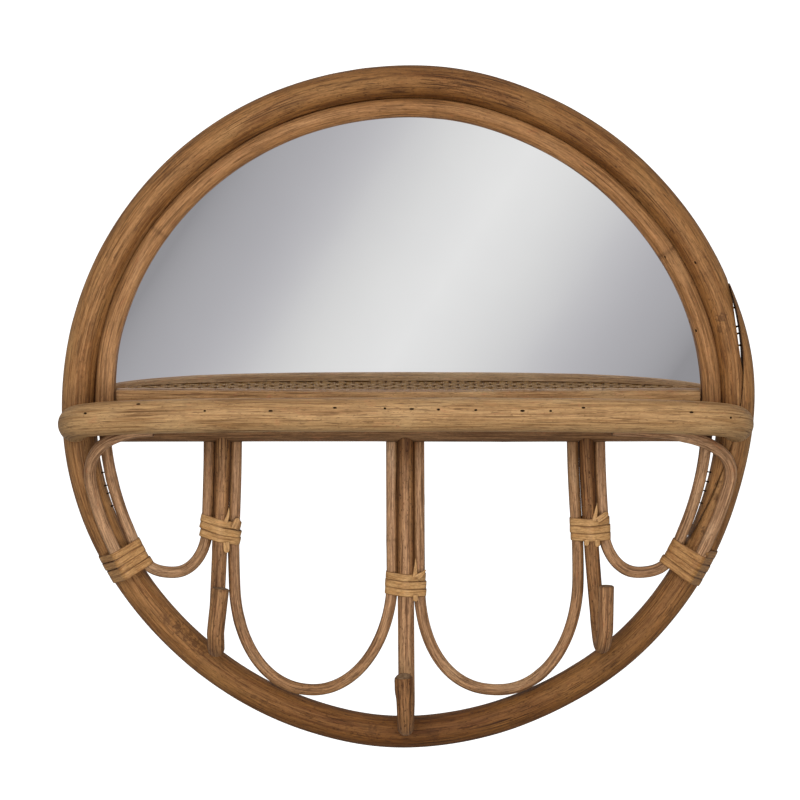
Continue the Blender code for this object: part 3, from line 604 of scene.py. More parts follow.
def cane(name, points, radius, look, node, slot, *, knots, phase, sides=22, step=0.0024,
         uneven=0.012, swell=0.035, girth=None, seats=(False, False), shade=None, grime=None,
         slant=0.0):
    """A cane along a path: uneven, swollen at its joints, its cut ends showing the pith.

    girth gives its thickness and shade its tone, by the share of the way along; seats tells
    which of its ends are cut to fit the underside of the rear rail. grime gives the painted
    shade on a side next to another cane: which of its sides at a height; slant lowers the front of
    the last cut.
    """
    path = resample(points, step)
    tangents, side, other = frames_along(path)
    length = run_along(path)
    turn = around(sides)
    mark = np.zeros(len(path))
    size = np.full(len(path), radius) * (1 + uneven * lumps(length, phase))
    if girth:
        size = size * look_up(girth, length / length[-1])
    for at in knots:
        away = np.abs(length - at * length[-1])
        mark = np.maximum(mark, 0.8 * bell(away, 0.0010))
        size = size * (1 + swell * bell(away, 0.0045) - swell * 0.9 * bell(away, 0.0008))
    wobble = 1 + 0.010 * np.cos(2 * turn[None, :] + length[:, None] * 19.0 + phase)
    rings = rings_round(path, side, other, turn, size[:, None] * wobble)
    chamfer = radius * 0.12
    verts, grain, knot, tone, rows = [], [], [], [], []

    def add_row(ring, s, value):
        rows.append(len(verts))
        level = look_up(shade, s / length[-1]) if shade else 1.0
        middle = np.mean(ring, axis=0)
        for k in range(sides):
            verts.append(ring[k])
            grain.append((math.cos(turn[k]) * radius + phase, math.sin(turn[k]) * radius,
                          s + phase * 3))
            knot.append(value)
            # Painted shade on the sides that face a neighbouring cane
            dark = grime(middle, (ring[k][0] - middle[0]) / radius) if grime else 0.0
            tone.append(level * (1 - dark))

    def seated(ring):
        return np.array([(x, y, seat_under_rail(y, z)) for x, y, z in ring])

    if seats[0]:
        add_row(seated(rings[0]), length[0], 0.4)
    else:
        add_row(path[0] + (rings[0] - path[0]) * (1 - chamfer / size[0]), length[0], 0.5)
        add_row(rings[0] + tangents[0] * chamfer, length[0] + chamfer, 0.2)
    for i in range(1, len(path) - 1):
        add_row(rings[i], length[i], mark[i])
    if seats[1]:
        add_row(seated(rings[-1]), length[-1], 0.4)
    else:
        lowered = (path[-1][1] - rings[-1][:, 1] + radius) * (slant / (2 * radius))
        cut = rings[-1] - tangents[-1] * lowered[:, None]
        add_row(cut - tangents[-1] * chamfer, length[-1] - chamfer, 0.4)
        add_row(path[-1] + (cut - path[-1]) * (1 - chamfer / size[-1]), length[-1], 0.7)
    faces = []
    for a, b in zip(rows, rows[1:]):
        faces += band(a, b, sides)
    slots = [0] * len(faces)
    for row in (rows[0], rows[-1]):
        base = len(verts)
        for k in range(sides):
            verts.append(verts[row + k])
            grain.append((math.cos(turn[k]) * radius, math.sin(turn[k]) * radius, 0.0))
        verts.append(np.mean(verts[base:], axis=0))
        grain.append((0.0, 0.0, 0.0))
        knot += [1.0] * sides + [0.0]
        tone += [1.0] * (sides + 1)
        end = fan(base, sides, base + sides)
        faces += flipped(end) if row == rows[0] else end
        slots += [1] * sides
    return new_piece(name, verts, faces, [look, END], grain, knot, slots, node, tone)


def polar(angle, radius, y):
    """A point at an angle round the hoop's middle, 0 to the right and a quarter turn at the top."""
    return Vector((radius * math.cos(angle), y, CENTRE_Z + radius * math.sin(angle)))


def bent(angle, bends):
    """How far the bends push a pole's axis outward at an angle."""
    fuller = 0.0
    for middle, stretch, amount in bends.values():
        away = abs((angle - middle + PI) % (2 * PI) - PI)
        if away < stretch:
            fuller += amount * math.cos(PI / 2 * away / stretch) ** 2
    return fuller


def hoop_axis(angle):
    return HOOP_RADIUS + bent(angle, HOOP_BENDS)


def bead_axis(angle):
    return hoop_axis(angle) - BEAD_INSET + bent(angle, BEAD_BENDS)


def hoop_pole(angle):
    """The hoop's own radius as a pole: it thins over the lower part."""
    return HOOP_R - HOOP_THINNING / 2 * clamp(-HOOP_THINS_OVER * math.sin(angle))


def bump_at(angle, middle, stretch):
    """One in the middle of a stretch of angle, falling to nothing at its ends."""
    return math.cos(PI / 2 * min(abs(angle - middle) / stretch, 1.0))


def scarf_cut(angle):
    """How far out from the pole's axis the cut between the lapped ends lies."""
    share = (angle - SCARF_LOW) / (SCARF_HIGH - SCARF_LOW)
    return -HOOP_R + SCARF_TIP + share * 2 * (HOOP_R - SCARF_TIP)


POLE_SIDES = 44
HOOP_STEPS = 420
HOOP_DRESSED = 0.990
HOOP_INNER_SHADE = 0.30
# Degrees round the hoop where it has its joints
HOOP_KNOTS = (25.2, 97.0, 166.0, 231.0, 303.0)
# Its tone by degrees round it
HOOP_TONES = ((0.0, 0.94), (30.0, 0.87), (48.0, 0.76), (70.0, 0.72), (90.0, 0.61), (110.0, 0.76),
              (135.0, 0.89), (165.0, 1.0), (185.0, 1.0), (215.0, 0.86), (240.0, 0.67),
              (270.0, 0.42), (300.0, 0.53), (325.0, 0.75), (345.0, 0.92), (360.0, 0.97))


def make_hoop():
    """The hoop's pole with its lapped ends and the slit between them."""
    verts, grain, knot, tone = [], [], [], []
    for angle in np.linspace(SCARF_LOW, 2 * PI + SCARF_HIGH, HOOP_STEPS + 1):
        whole = look_up(HOOP_TONES, math.degrees(angle) % 360.0)
        inner_end = angle <= SCARF_HIGH
        outer_end = angle >= 2 * PI + SCARF_LOW
        lap = angle - 2 * PI if outer_end else angle
        spring = SCARF_SPRING * bump_at(lap, SCARF_SPRING_MIDDLE, SCARF_SPRING_STRETCH) ** 2
        slit = SCARF_SLIT * bump_at(lap, SCARF_SLIT_MIDDLE, SCARF_SLIT_STRETCH) ** 0.7
        s = angle * HOOP_RADIUS
        size = hoop_pole(angle) * (HOOP_DRESSED + 0.004 * lumps(s, 1.3))
        mark = 0.0
        for place in HOOP_KNOTS:
            for lap_round in (0.0, 360.0):
                away = abs(angle - math.radians(place + lap_round)) * HOOP_RADIUS
                mark = max(mark, 0.4 * bell(away, 0.0014))
                size *= 1 + 0.012 * bell(away, 0.007) - 0.012 * bell(away, 0.0010)
        for turn in around(POLE_SIDES):
            out = size * math.cos(turn)
            deep = size * math.sin(turn)
            cut = 0.0
            if inner_end:
                limit = scarf_cut(lap) + spring - slit - SCARF_GAP / 2
                cut = 1.0 if out > limit else 0.0
                out = min(out, limit)
            if outer_end:
                limit = scarf_cut(lap) + SCARF_GAP / 2
                cut = 1.0 if out < limit else 0.0
                out = max(out, limit) + spring
            verts.append(polar(angle, hoop_axis(angle) + out, HOOP_Y + deep))
            grain.append((math.cos(turn) * HOOP_R, math.sin(turn) * HOOP_R, s))
            knot.append(max(mark, 0.5 * cut))
            # Painted shade on the hoop's inner side over its upper half, where that side faces down;
            # it fades over the lower half, where the inner side faces up to the light, and near the
            # crease by the bead
            facing_in = -math.cos(turn) * clamp(0.5 + 2 * math.sin(angle))
            inner = clamp((facing_in - 0.05) / 0.5) * (1 - clamp((facing_in - 0.6) / 0.3))
            tone.append(whole * (1 - HOOP_INNER_SHADE * inner))
    faces = []
    for i in range(HOOP_STEPS):
        quads = band(i * POLE_SIDES, (i + 1) * POLE_SIDES, POLE_SIDES)
        faces += [(a, d, c, b) for a, b, c, d in quads]
    slots = [0] * len(faces) + [1, 1]
    faces.append(lid(0, POLE_SIDES))
    faces.append(lid(HOOP_STEPS * POLE_SIDES, POLE_SIDES)[::-1])
    return new_piece("hoop_pole", verts, faces, [POLE, END], grain, knot, slots, "hoop",
                     tone)


def front_rail_y(x):
    share = min(abs(x) / FRONT_HALF, 1.0)
    return FRONT_END_Y - FRONT_REACH * (1 - share ** FRONT_SQUARENESS) ** (1 / FRONT_SQUARENESS)


def front_rail_point(x):
    y = front_rail_y(x)
    return Vector((x, y, FRONT_END_Z + FRONT_RISE * (FRONT_END_Y - y)))


RAIL_BACK_PAINTED_LIGHT = 0.55
RAIL_STEPS = 240
RAIL_END_LEVELS = 5


def make_front_rail():
    """The bent front rail: its ends are coped round the hoop's front."""
    sides = POLE_SIDES
    coarse = []
    for k in range(RAIL_STEPS + 1):
        reach = math.cos(PI * k / RAIL_STEPS)
        x = FRONT_HALF * abs(reach) ** (2 / FRONT_SQUARENESS)
        coarse.append(front_rail_point(math.copysign(x, -reach)))
    path = resample(coarse[::2], 0.0022)
    _, side, other = frames_along(path)
    length = run_along(path)
    turn = around(sides)
    size = FRONT_R * (RAIL_DRESSED + 0.006 * lumps(length, 4.4))
    mark = np.zeros(len(path))
    for x in (0.1580, -0.1890):
        away = np.abs(path[:, 0] - x)
        mark = np.maximum(mark, 0.15 * bell(away, 0.0012))
        size = size * (1 + 0.010 * bell(away, 0.006) - 0.010 * bell(away, 0.001))
    verts = rings_round(path, side, other, turn, size[:, None]).reshape(-1, 3).tolist()
    grain = [(math.cos(t) * FRONT_R, math.sin(t) * FRONT_R, s + 5.0) for s in length for t in turn]
    knot = np.repeat(mark, sides).tolist()
    faces = []
    for i in range(len(path) - 1):
        faces += band(i * sides, (i + 1) * sides, sides)
    slots = [0] * len(faces)
    for first, spring in ((0, 0.0), (len(verts) - sides, SCARF_SPRING)):
        turned = flipped if first == 0 else list
        rim = verts[first:first + sides]
        moves = []
        for x, y, z in rim:
            out = math.hypot(x, z - CENTRE_Z) - hoop_axis(math.atan2(z - CENTRE_Z, x))
            if out > 0:
                out = max(out - spring, 0.0)
            reach = max((HOOP_R + TOUCH) ** 2 - out * out, 0.0)
            moves.append(min(HOOP_Y - math.sqrt(reach), FRONT_END_Y + FRONT_COPE) - y)
        previous = first
        for level in range(1, RAIL_END_LEVELS + 1):
            base = len(verts)
            for k, (x, y, z) in enumerate(rim):
                move = moves[k] * level / RAIL_END_LEVELS
                verts.append([x, y + move, z])
                a, b, s = grain[first + k]
                grain.append((a, b, s + (move if first else -move)))
                knot.append(0.6 if level == RAIL_END_LEVELS else 0.0)
            faces += turned(band(previous, base, sides))
            slots += [0] * sides
            previous = base
        faces += turned(fan(previous, sides, len(verts)))
        slots += [1] * sides
        verts.append(np.mean(verts[previous:previous + sides], axis=0).tolist())
        grain.append((0.0, 0.0, 0.0))
        knot.append(0.0)
    # Painted light: the back of the rail over the shelf, which the glass shows, is made paler as if
    # lit from above
    tone = []
    for x, y, _ in verts:
        behind = clamp((y - front_rail_y(x)) / FRONT_R)
        tone.append(1 + RAIL_BACK_PAINTED_LIGHT * behind if abs(x) < SHELF_HALF else 1.0)
    return new_piece("front_rail_pole", verts, faces, [RAIL, END], grain, knot, slots, "front_rail",
                     tone)


def make_bead():
    foot = math.asin((REAR_TOP + TOUCH - CENTRE_Z) / BEAD_RADIUS)
    angles = [foot + (PI - 2 * foot) * k / 90 for k in range(91)]
    path = [polar(angle, bead_axis(angle), BEAD_Y) for angle in angles]
    cane("bead_pole", path, BEAD_R, BEAD, "bead", "rattan_cane", sides=28, step=0.0030,
         knots=(0.175, 0.47, 0.80), phase=2.2, uneven=0.006, swell=0.02,
         shade=((0.0, 0.88), (0.5, 0.76), (0.8, 0.90), (1.0, 0.97)))


def make_rear_rail():
    ends = [Vector((x, REAR_Y, REAR_Z)) for x in np.linspace(-REAR_HALF, REAR_HALF, 40)]
    cane("rear_rail_pole", ends, REAR_R, REAR, "rear_rail", "rattan_pole", sides=36, step=0.004,
         knots=(0.2, 0.66), phase=3.1, uneven=0.004, swell=0.01)


def strip_end(side):
    """Where the slat ends across, just short of the bead's inner face."""
    rise = STRIP_HIGH - CENTRE_Z
    angle = math.asin(rise / BEAD_RADIUS)
    inner_face = bead_axis(angle if side > 0 else PI - angle) - BEAD_R
    return side * (math.sqrt(inner_face ** 2 - rise ** 2) - STRIP_END_PLAY)


def make_strip():
    """The flat slat on the rear rail, its long edges eased and its face faintly uneven."""
    ease = 0.0014
    centre_y = (STRIP_FRONT + STRIP_BACK) / 2
    centre_z = (STRIP_LOW + STRIP_HIGH) / 2
    half_y = STRIP_THICK / 2 - ease
    half_z = STRIP_HEIGHT / 2 - ease
    section = []
    for corner, sign_y, sign_z in ((0, 1, 1), (1, -1, 1), (2, -1, -1), (3, 1, -1)):
        for k in range(4):
            turn = PI / 2 * (corner + k / 3)
            section.append((centre_y + sign_y * half_y + ease * math.cos(turn),
                            centre_z + sign_z * half_z + ease * math.sin(turn)))
    count = len(section)
    verts, grain, knot = [], [], []
    ends = (strip_end(-1), strip_end(1))
    xs = np.linspace(ends[0], ends[1], 200)
    for x in xs:
        wave = 0.0002 + 0.0002 * math.sin(x * 40.0)
        sag = STRIP_SAG * math.cos(PI / 2 * x / ends[1]) ** 2
        for y, z in section:
            verts.append((x, y + (wave if y < centre_y else 0.0), z - (sag if z > centre_z else 0.0)))
            grain.append((y - centre_y, z - centre_z, x + 9.0))
            knot.append(0.5 if min(x - ends[0], ends[1] - x) < 0.0005 else 0.0)
    faces = []
    for i in range(len(xs) - 1):
        faces += band(i * count, (i + 1) * count, count)
    slots = [0] * len(faces) + [1, 1]
    faces.append(lid(0, count)[::-1])
    faces.append(lid(len(verts) - count, count))
    new_piece("glass_strip_slat", verts, faces, [STRIP, END], grain, knot, slots, "glass_strip")


SHELF_FRONT = front_rail_y(0.0) + FRONT_R


def shelf_top(y):
    """Height of the panel's upper face, which slopes up to the front."""
    front_z = front_rail_point(0.0).z + FRONT_R - SHELF_BELOW_RAIL_TOP
    rear_z = REAR_TOP + SHELF_ABOVE_REAR_RAIL + SHELF_THICK
    return rear_z + (front_z - rear_z) * (SHELF_REAR - y) / (SHELF_REAR - SHELF_FRONT)


def weave_height(y):
    """Height of the weave's middle surface: it leaves the solid's upward near the rail."""
    forward = (SHELF_REAR - y) / (SHELF_REAR - SHELF_FRONT)
    return shelf_top(y) - SHELF_THICK / 2 + WEAVE_LIFT * forward


RAIL_LINE = np.array([front_rail_point(FRONT_HALF * k / 400) for k in range(400)])


def shelf_front(x):
    """Where the weave's front edge comes to the front rail, at a place across."""
    inside, clear = front_rail_y(x), STRIP_FRONT
    for _ in range(16):
        y = (inside + clear) / 2
        away = np.linalg.norm(RAIL_LINE - (abs(x), y, weave_height(y)), axis=1).min()
        if away < FRONT_R * RAIL_DRESSED + WEAVE_OFF_RAIL:
            inside = y
        else:
            clear = y
    return clear


def ribbon(path, ups, width, thick, flat, taper):
    """Rings of a flat strand and its rounded section: its width lies across the ups and the path."""
    tangents = unit_rows(np.gradient(path, axis=0))
    across = unit_rows(np.cross(tangents, ups))
    normal = np.cross(across, tangents)
    section = []
    for turn in around(2 * flat):
        c, s = math.cos(turn), math.sin(turn)
        section.append((math.copysign(abs(c) ** 0.55, c) / 2, math.copysign(abs(s) ** 0.75, s) / 2))
    rings = []
    for i, share in enumerate(taper):
        w = width * share
        t = thick * (0.35 + 0.65 * share)
        rings.append([path[i] + across[i] * (w * a) + normal[i] * (t * b) for a, b in section])
    return rings, section


class Strands:
    """Collects many strands into one mesh."""

    def __init__(self):
        self.verts, self.faces, self.grain, self.knot = [], [], [], []

    def add(self, points, ups, width, thick, flat, offset, taper=None, loop=False, edge=1.0):
        path = np.asarray(points, dtype=float)
        ups = np.asarray(ups, dtype=float)
        taper = np.ones(len(path)) if taper is None else taper
        rings, section = ribbon(path, ups, width, thick, flat, taper)
        length = run_along(path)
        count = len(section)
        base = len(self.verts)
        for ring, s in zip(rings, length):
            for point, (a, b) in zip(ring, section):
                self.verts.append(point)
                self.grain.append((a * width + offset, b * thick, s + offset * 7))
                self.knot.append(max(0.0, (abs(2 * a) - 0.76) / 0.24) * edge)
        last = len(rings)
        for i in range(last if loop else last - 1):
            self.faces += band(base + i * count, base + ((i + 1) % last) * count, count)
        if not loop:
            self.faces.append(lid(base, count)[::-1])
            self.faces.append(lid(base + (last - 1) * count, count))

    def finish(self, name, look, node, tone=1.0):
        tones = [tone] * len(self.verts)
        return new_piece(name, self.verts, self.faces, [look], self.grain, self.knot, None, node,
                         tones)


def make_shelf():
    """A close plain weave of flat cane, with a thin reed laid over its rear edge and a thin dark
    strand along its front edge, a painted shadow line against the rail.
    """
    weave = Strands()
    front = shelf_front(0.0)
    slope = (shelf_top(SHELF_REAR) - shelf_top(front)) / (SHELF_REAR - front)

    def surface(x, y, rise):
        return (x, y, weave_height(y) + rise)

    def lay(points, width, thick, offset, edge):
        weave.add(points, [(0.0, -slope, 1.0)] * len(points), width, thick, 4, offset, edge=edge)

    for r in range(int((SHELF_REAR - front) / WEAVE_PITCH_DEEP) + 1):
        y = SHELF_REAR - WEAVE_FIRST_ROW - r * WEAVE_PITCH_DEEP
        if y < front + WEAVE_ROW_CLEAR:
            continue
        low_x = -SHELF_HALF
        while low_x < 0 and shelf_front(low_x) > y - WEAVE_ROW_CLEAR:
            low_x += WEAVE_END_STEP
        if low_x > -0.02:
            continue
        low_x += WEAVE_END_STEP
        count = int((-2 * low_x) / WEAVE_PITCH_ACROSS * WEAVE_POINTS_A_PITCH)
        pts = []
        for x in np.linspace(low_x, -low_x, count):
            pts.append(surface(x, y, WEAVE_RISE * math.sin(PI * x / WEAVE_PITCH_ACROSS + PI * r)))
        lay(pts, WEAVE_ROW_WIDTH, WEAVE_THICK, 0.03 * r, 0.8)
    columns = int(2 * SHELF_HALF / WEAVE_PITCH_ACROSS)
    for c in range(columns + 1):
        x = (c - columns / 2 + 0.5) * WEAVE_PITCH_ACROSS
        if abs(x) > SHELF_HALF - 0.004:
            continue
        near = shelf_front(x)
        deep = SHELF_REAR - near
        if deep < WEAVE_SHORTEST:
            continue
        side = -math.copysign(1.0, math.sin(PI * x / WEAVE_PITCH_ACROSS))
        count = max(8, int(deep / WEAVE_PITCH_DEEP * WEAVE_POINTS_A_PITCH))
        pts = []
        for y in np.linspace(near, SHELF_REAR - 0.0005, count):
            wave = math.sin(PI * (SHELF_REAR - WEAVE_FIRST_ROW - y) / WEAVE_PITCH_DEEP + PI / 2)
            pts.append(surface(x, y, WEAVE_RISE * wave * side))
        lay(pts, WEAVE_COLUMN_WIDTH, WEAVE_THICK, 0.5 + 0.02 * c, 0.8)
    # Painted shadow line: a thin all-dark strand where the weave meets the front rail
    shadow_line = []
    for x in np.linspace(-SHELF_HALF + SHADOW_LINE_IN, SHELF_HALF - SHADOW_LINE_IN, 240):
        if SHELF_REAR - shelf_front(x) > 0.004:
            shadow_line.append(surface(x, shelf_front(x) + 0.0002, 0.0006))
    lay(shadow_line, SHADOW_LINE_WIDTH, SHADOW_LINE_THICK, 6.0, 1.4)
    reed = [surface(x, SHELF_REAR - 0.0018, 0.0009)
            for x in np.linspace(-SHELF_HALF + REED_IN, SHELF_HALF - REED_IN, 120)]
    lay(reed, REED_WIDTH, REED_THICK, 4.0, 0.3)
    weave.finish("shelf_weave", WOVEN, "woven_shelf")


def below(share):
    """A height given as a share of the hoop's radius from its middle."""
    return CENTRE_Z + HOOP_RADIUS * share


def strut_x(strut, z):
    """Where a strut's axis lies across at a height."""
    share = clamp((LEG_TOP - z) / (LEG_TOP - below(strut["low"])))
    lean = (strut["foot"] - strut["top"]) * share ** STRUT_LEAN_POWER
    return HOOP_RADIUS * (strut["top"] + lean)


def strut_path(side):
    """A strut from the rear rail down to its foot, forward and up into its hook."""
    strut = STRUTS[side]
    bend_z = below(strut["low"]) + STRUT_R + HOOK_BEND
    path = []
    for k in range(7):
        z = LEG_TOP + (bend_z - LEG_TOP) * k / 7
        path.append(Vector((strut_x(strut, z), STRUT_Y, z)))
    foot_x = strut_x(strut, bend_z)
    for k in range(11):
        turn = PI * k / 10
        across = foot_x + (HOOP_RADIUS * strut["root"] - foot_x) * k / 10
        y = STRUT_Y - HOOK_BEND * (1 - math.cos(turn))
        path.append(Vector((across, y, bend_z - HOOK_BEND * math.sin(turn))))
    path.append(Vector((HOOP_RADIUS * strut["tip"], PRONG_Y, below(strut["high"]))))
    return path


def leg_beside(side, direction, low):
    """The straight leg of a scallop that lies against a strut."""
    strut = STRUTS[side]
    points = []
    for k in range(5):
        z = LEG_TOP + (low - LEG_TOP) * k / 4
        points.append(Vector((strut_x(strut, z) + direction * LEG_SPACING, INFILL_Y, z)))
    return points


def inner_path(direction):
    """An inner scallop: down beside an outer strut, round, and up by the middle one."""
    outer = side_name(direction)
    spring = below(-INNER_SPRING)
    low = below(-INNER_LOW)
    near = strut_x(STRUTS["middle"], spring) + direction * LEG_SPACING
    far = strut_x(STRUTS[outer], spring) - direction * (LEG_SPACING + INNER_DRAW)
    centre = (near + far) / 2
    half = abs(far - near) / 2
    under = 3 * PEEL_WIDTH / 2
    down = leg_beside(outer, -direction, below(STRUT_BINDINGS[outer]["height"]) - under)
    up = leg_beside("middle", direction, spring + CANE_R)
    bowl = []
    for k in range(19):
        turn = PI * k / 18
        squareness = INNER_SQUARENESS[outer][0 if k < 9 else 1]
        reach = math.copysign(abs(math.cos(turn)) ** (2 / squareness), math.cos(turn))
        drop = math.sin(turn) ** (2 / squareness) if 0 < k < 18 else 0.0
        x = centre + direction * half * reach
        bowl.append(Vector((x, INFILL_Y, spring - (spring - low) * drop)))
    return down + bowl + up[::-1]


def bezier(first, leave, arrive, last, steps):
    points = []
    for k in range(1, steps + 1):
        t = k / steps
        s = 1 - t
        points.append(first * s ** 3 + leave * (3 * s * s * t) + arrive * (3 * s * t * t)
                      + last * t ** 3)
    return points


def outer_path(direction):
    """An outer scallop: down inside the hoop, round, and up beside its strut."""
    side = side_name(direction)
    top_radius = HOOP_RADIUS - OUTER_LEG_INSET_TOP
    top_angle = math.asin((CENTRE_Z - LEG_TOP + LEG_BEVEL) / top_radius)
    path = []
    for k in range(7):
        share = k / 6
        angle = top_angle + (OUTER_LEG_FOOT_ANGLE - top_angle) * share
        radius = top_radius + (OUTER_LEG_INSET_TOP - OUTER_LEG_INSET_FOOT[side]) * share
        path.append(polar(hoop_angle(direction, angle), radius, INFILL_Y))
    foot = path[-1]
    along = (foot - path[-2]).normalized()
    low = Vector((direction * HOOP_RADIUS * OUTER_CENTRE, INFILL_Y, below(-OUTER_LOW)))
    inward = Vector((-direction, 0.0, 0.0))
    turn = HOOP_RADIUS * OUTER_TURN
    path += bezier(foot, foot + along * turn, low - inward * turn, low, 8)
    spring = below(-OUTER_SPRING)
    leg = Vector((strut_x(STRUTS[side], spring) + direction * LEG_SPACING, INFILL_Y, spring))
    rise = Vector((0.0, 0.0, turn * OUTER_TURN_UP))
    path += bezier(low, low + inward * (turn * OUTER_TURN_INWARD), leg - rise, leg, 7)
    return path + leg_beside(side, direction, spring + 2 * CANE_R)[::-1]


def brace_seat(direction, drop):
    """Where a brace lies on the hoop's front, at an angle below level: radius and y."""
    brace = BRACES[side_name(direction)]
    share = (drop - brace["leaves"]) / (BRACE_FOOT_ANGLE - brace["leaves"])
    inward = brace["inward_top"] + (brace["inward_foot"] - brace["inward_top"]) * share
    radius = hoop_axis(hoop_angle(direction, drop)) - inward
    return radius, HOOP_Y - math.sqrt(BRACE_OFFSET ** 2 - inward ** 2)


def brace_path(direction):
    """A brace: up the hoop's front, then in a bend to the front rail's underside."""
    brace = BRACES[side_name(direction)]
    path = []
    for k in range(6):
        drop = BRACE_FOOT_ANGLE + (brace["leaves"] - BRACE_FOOT_ANGLE) * k / 5
        radius, y = brace_seat(direction, drop)
        path.append(polar(hoop_angle(direction, drop), radius, y))
    leaves = path[-1]
    along = (leaves - path[-2]).normalized()
    end = direction * HOOP_RADIUS * brace["end"]
    rail = front_rail_point(end)
    ahead = front_rail_point(end - direction * FRONT_R)
    beside = (ahead - rail).normalized()
    slant = (FRONT_R + CANE_R + 2 * TOUCH) / math.sqrt(2)
    last = rail + Vector((0.0, slant, -slant))
    lifted = leaves + along * brace["lift"]
    return path + bezier(leaves, lifted, last - beside * brace["along_rail"], last, 12)


def hull_point(circles, turn):
    """The point of the circles' common outline that faces a direction."""
    ca, sa = math.cos(turn), math.sin(turn)
    best = max(circles, key=lambda c: c[0] * ca + c[1] * sa + c[2])
    return best[0] + best[2] * ca, best[1] + best[2] * sa


def height_on(path, z):
    """Where a path lies across at a height."""
    for first, second in zip(path, path[1:]):
        if min(first.z, second.z) <= z <= max(first.z, second.z):
            share = (z - first.z) / (second.z - first.z)
            return first.x + (second.x - first.x) * share
    return path[0].x


def radius_on(path, angle):
    """How far from the hoop's middle a path lies at an angle below level."""
    for first, second in zip(path, path[1:]):
        near = math.atan2(CENTRE_Z - first.z, abs(first.x))
        far = math.atan2(CENTRE_Z - second.z, abs(second.x))
        if near <= angle <= far:
            share = (angle - near) / (far - near)
            point = first + (second - first) * share
            return math.hypot(point.x, point.z - CENTRE_Z)
    return HOOP_RADIUS - OUTER_LEG_INSET_FOOT["left"]


def hull_outline(circles, count):
    """The tight outline round some circles: evenly spaced points and their outward directions."""
    dense = np.array([hull_point(circles, 2 * PI * k / 360) for k in range(361)])
    run = run_along(dense)
    at = np.linspace(0.0, run[-1], count, endpoint=False)
    points = np.stack([np.interp(at, run, dense[:, 0]), np.interp(at, run, dense[:, 1])], axis=1)
    ahead = unit_rows(np.roll(points, -1, axis=0) - np.roll(points, 1, axis=0))
    return points, np.stack([ahead[:, 1], -ahead[:, 0]], axis=1)


def wrap(strands, members, place, shift, width, offset, over, steps=96, tilt=0.0,
         kink=(0.0, 0.0), part=None):
    """One turn of peel on the canes' common outline, or the part of it that part picks out.

    kink gives a place across and how far along the turn steps there; over lifts the turn where
    it lies on its neighbours.
    """
    circles = [(a, b, r + PEEL_PLAY + over + PEEL_THICK / 2) for a, b, r in members(shift)]
    points, away = hull_outline(circles, steps)
    chosen = [k for k in range(steps) if part is None or part(points[k])]
    breaks = [i for i in range(len(chosen) - 1) if chosen[i + 1] - chosen[i] > 1]
    if breaks:
        chosen = chosen[breaks[0] + 1:] + chosen[:breaks[0] + 1]
    near = 1e-4
    path, ups = [], []
    for k in chosen:
        across, ahead = points[k]
        along = shift + tilt * across + kink[1] / (1 + math.exp(-(across - kink[0]) / 0.0016))
        here = place(along, across, ahead)
        there = place(along, across + near * away[k][0], ahead + near * away[k][1])
        path.append(here)
        ups.append((there - here).normalized())
    share = np.linspace(0.0, 1.0, len(path))
    taper = np.clip(np.minimum(share, 1 - share) / 0.08, 0.35, 1.0) if part else None
    strands.add(path, ups, width, PEEL_THICK, 9, offset, taper, loop=not part)


def tuck(strands, points, width, offset, blunt):
    """A short end of peel: cut to a point at its far end, or left blunt."""
    path = resample(points, 0.0007)
    share = np.linspace(0.0, 1.0, len(path))
    if blunt:
        taper = np.sqrt(np.clip(1 - share ** 7, 0.05, 1.0))
    else:
        taper = np.clip(1.03 - share ** 1.6, 0.05, 1.0)
    strands.add(path, [(0.0, -1.0, 0.0)] * len(path), width, PEEL_END_THICK, 6, offset,
                taper)


def strut_members(side, paths, height):
    """The canes that a strut's binding holds, as circles at a distance below its middle."""
    def members(along):
        z = height - along
        found = [(strut_x(STRUTS[side], z), -STRUT_FORWARD, STRUT_R)]
        return found + [(height_on(path, z), 0.0, CANE_R) for path in paths]
    return members


def make_strut_binding(side, paths, tilts, ends):
    """Three turns of peel round a strut and the canes beside it, and the peel's short ends."""
    data = STRUT_BINDINGS[side]
    height = below(data["height"])
    middle = strut_x(STRUTS[side], height)
    front = STRUT_Y - STRUT_R
    members = strut_members(side, paths, height)
    peel_work = Strands()

    def sloping(slope):
        def place(along, across, ahead):
            return Vector((across, INFILL_Y + ahead, height - along + slope * (across - middle)))
        return place

    for k, tilt in enumerate(tilts):
        wrap(peel_work, members, sloping(data["slope"] + tilt), (k - 1) * PEEL_WIDTH, PEEL_WIDTH,
             0.11 * k + middle, PEEL_OVER * (k % 2))
    for k, (points, width, blunt) in enumerate(ends):
        path = [Vector((middle + a, front - c, height + b)) for a, b, c in points]
        tuck(peel_work, path, width, 1.7 + 0.2 * k + middle, blunt)
    peel_work.finish("strut_peel_" + side, PEEL, "strut_binding_" + side)


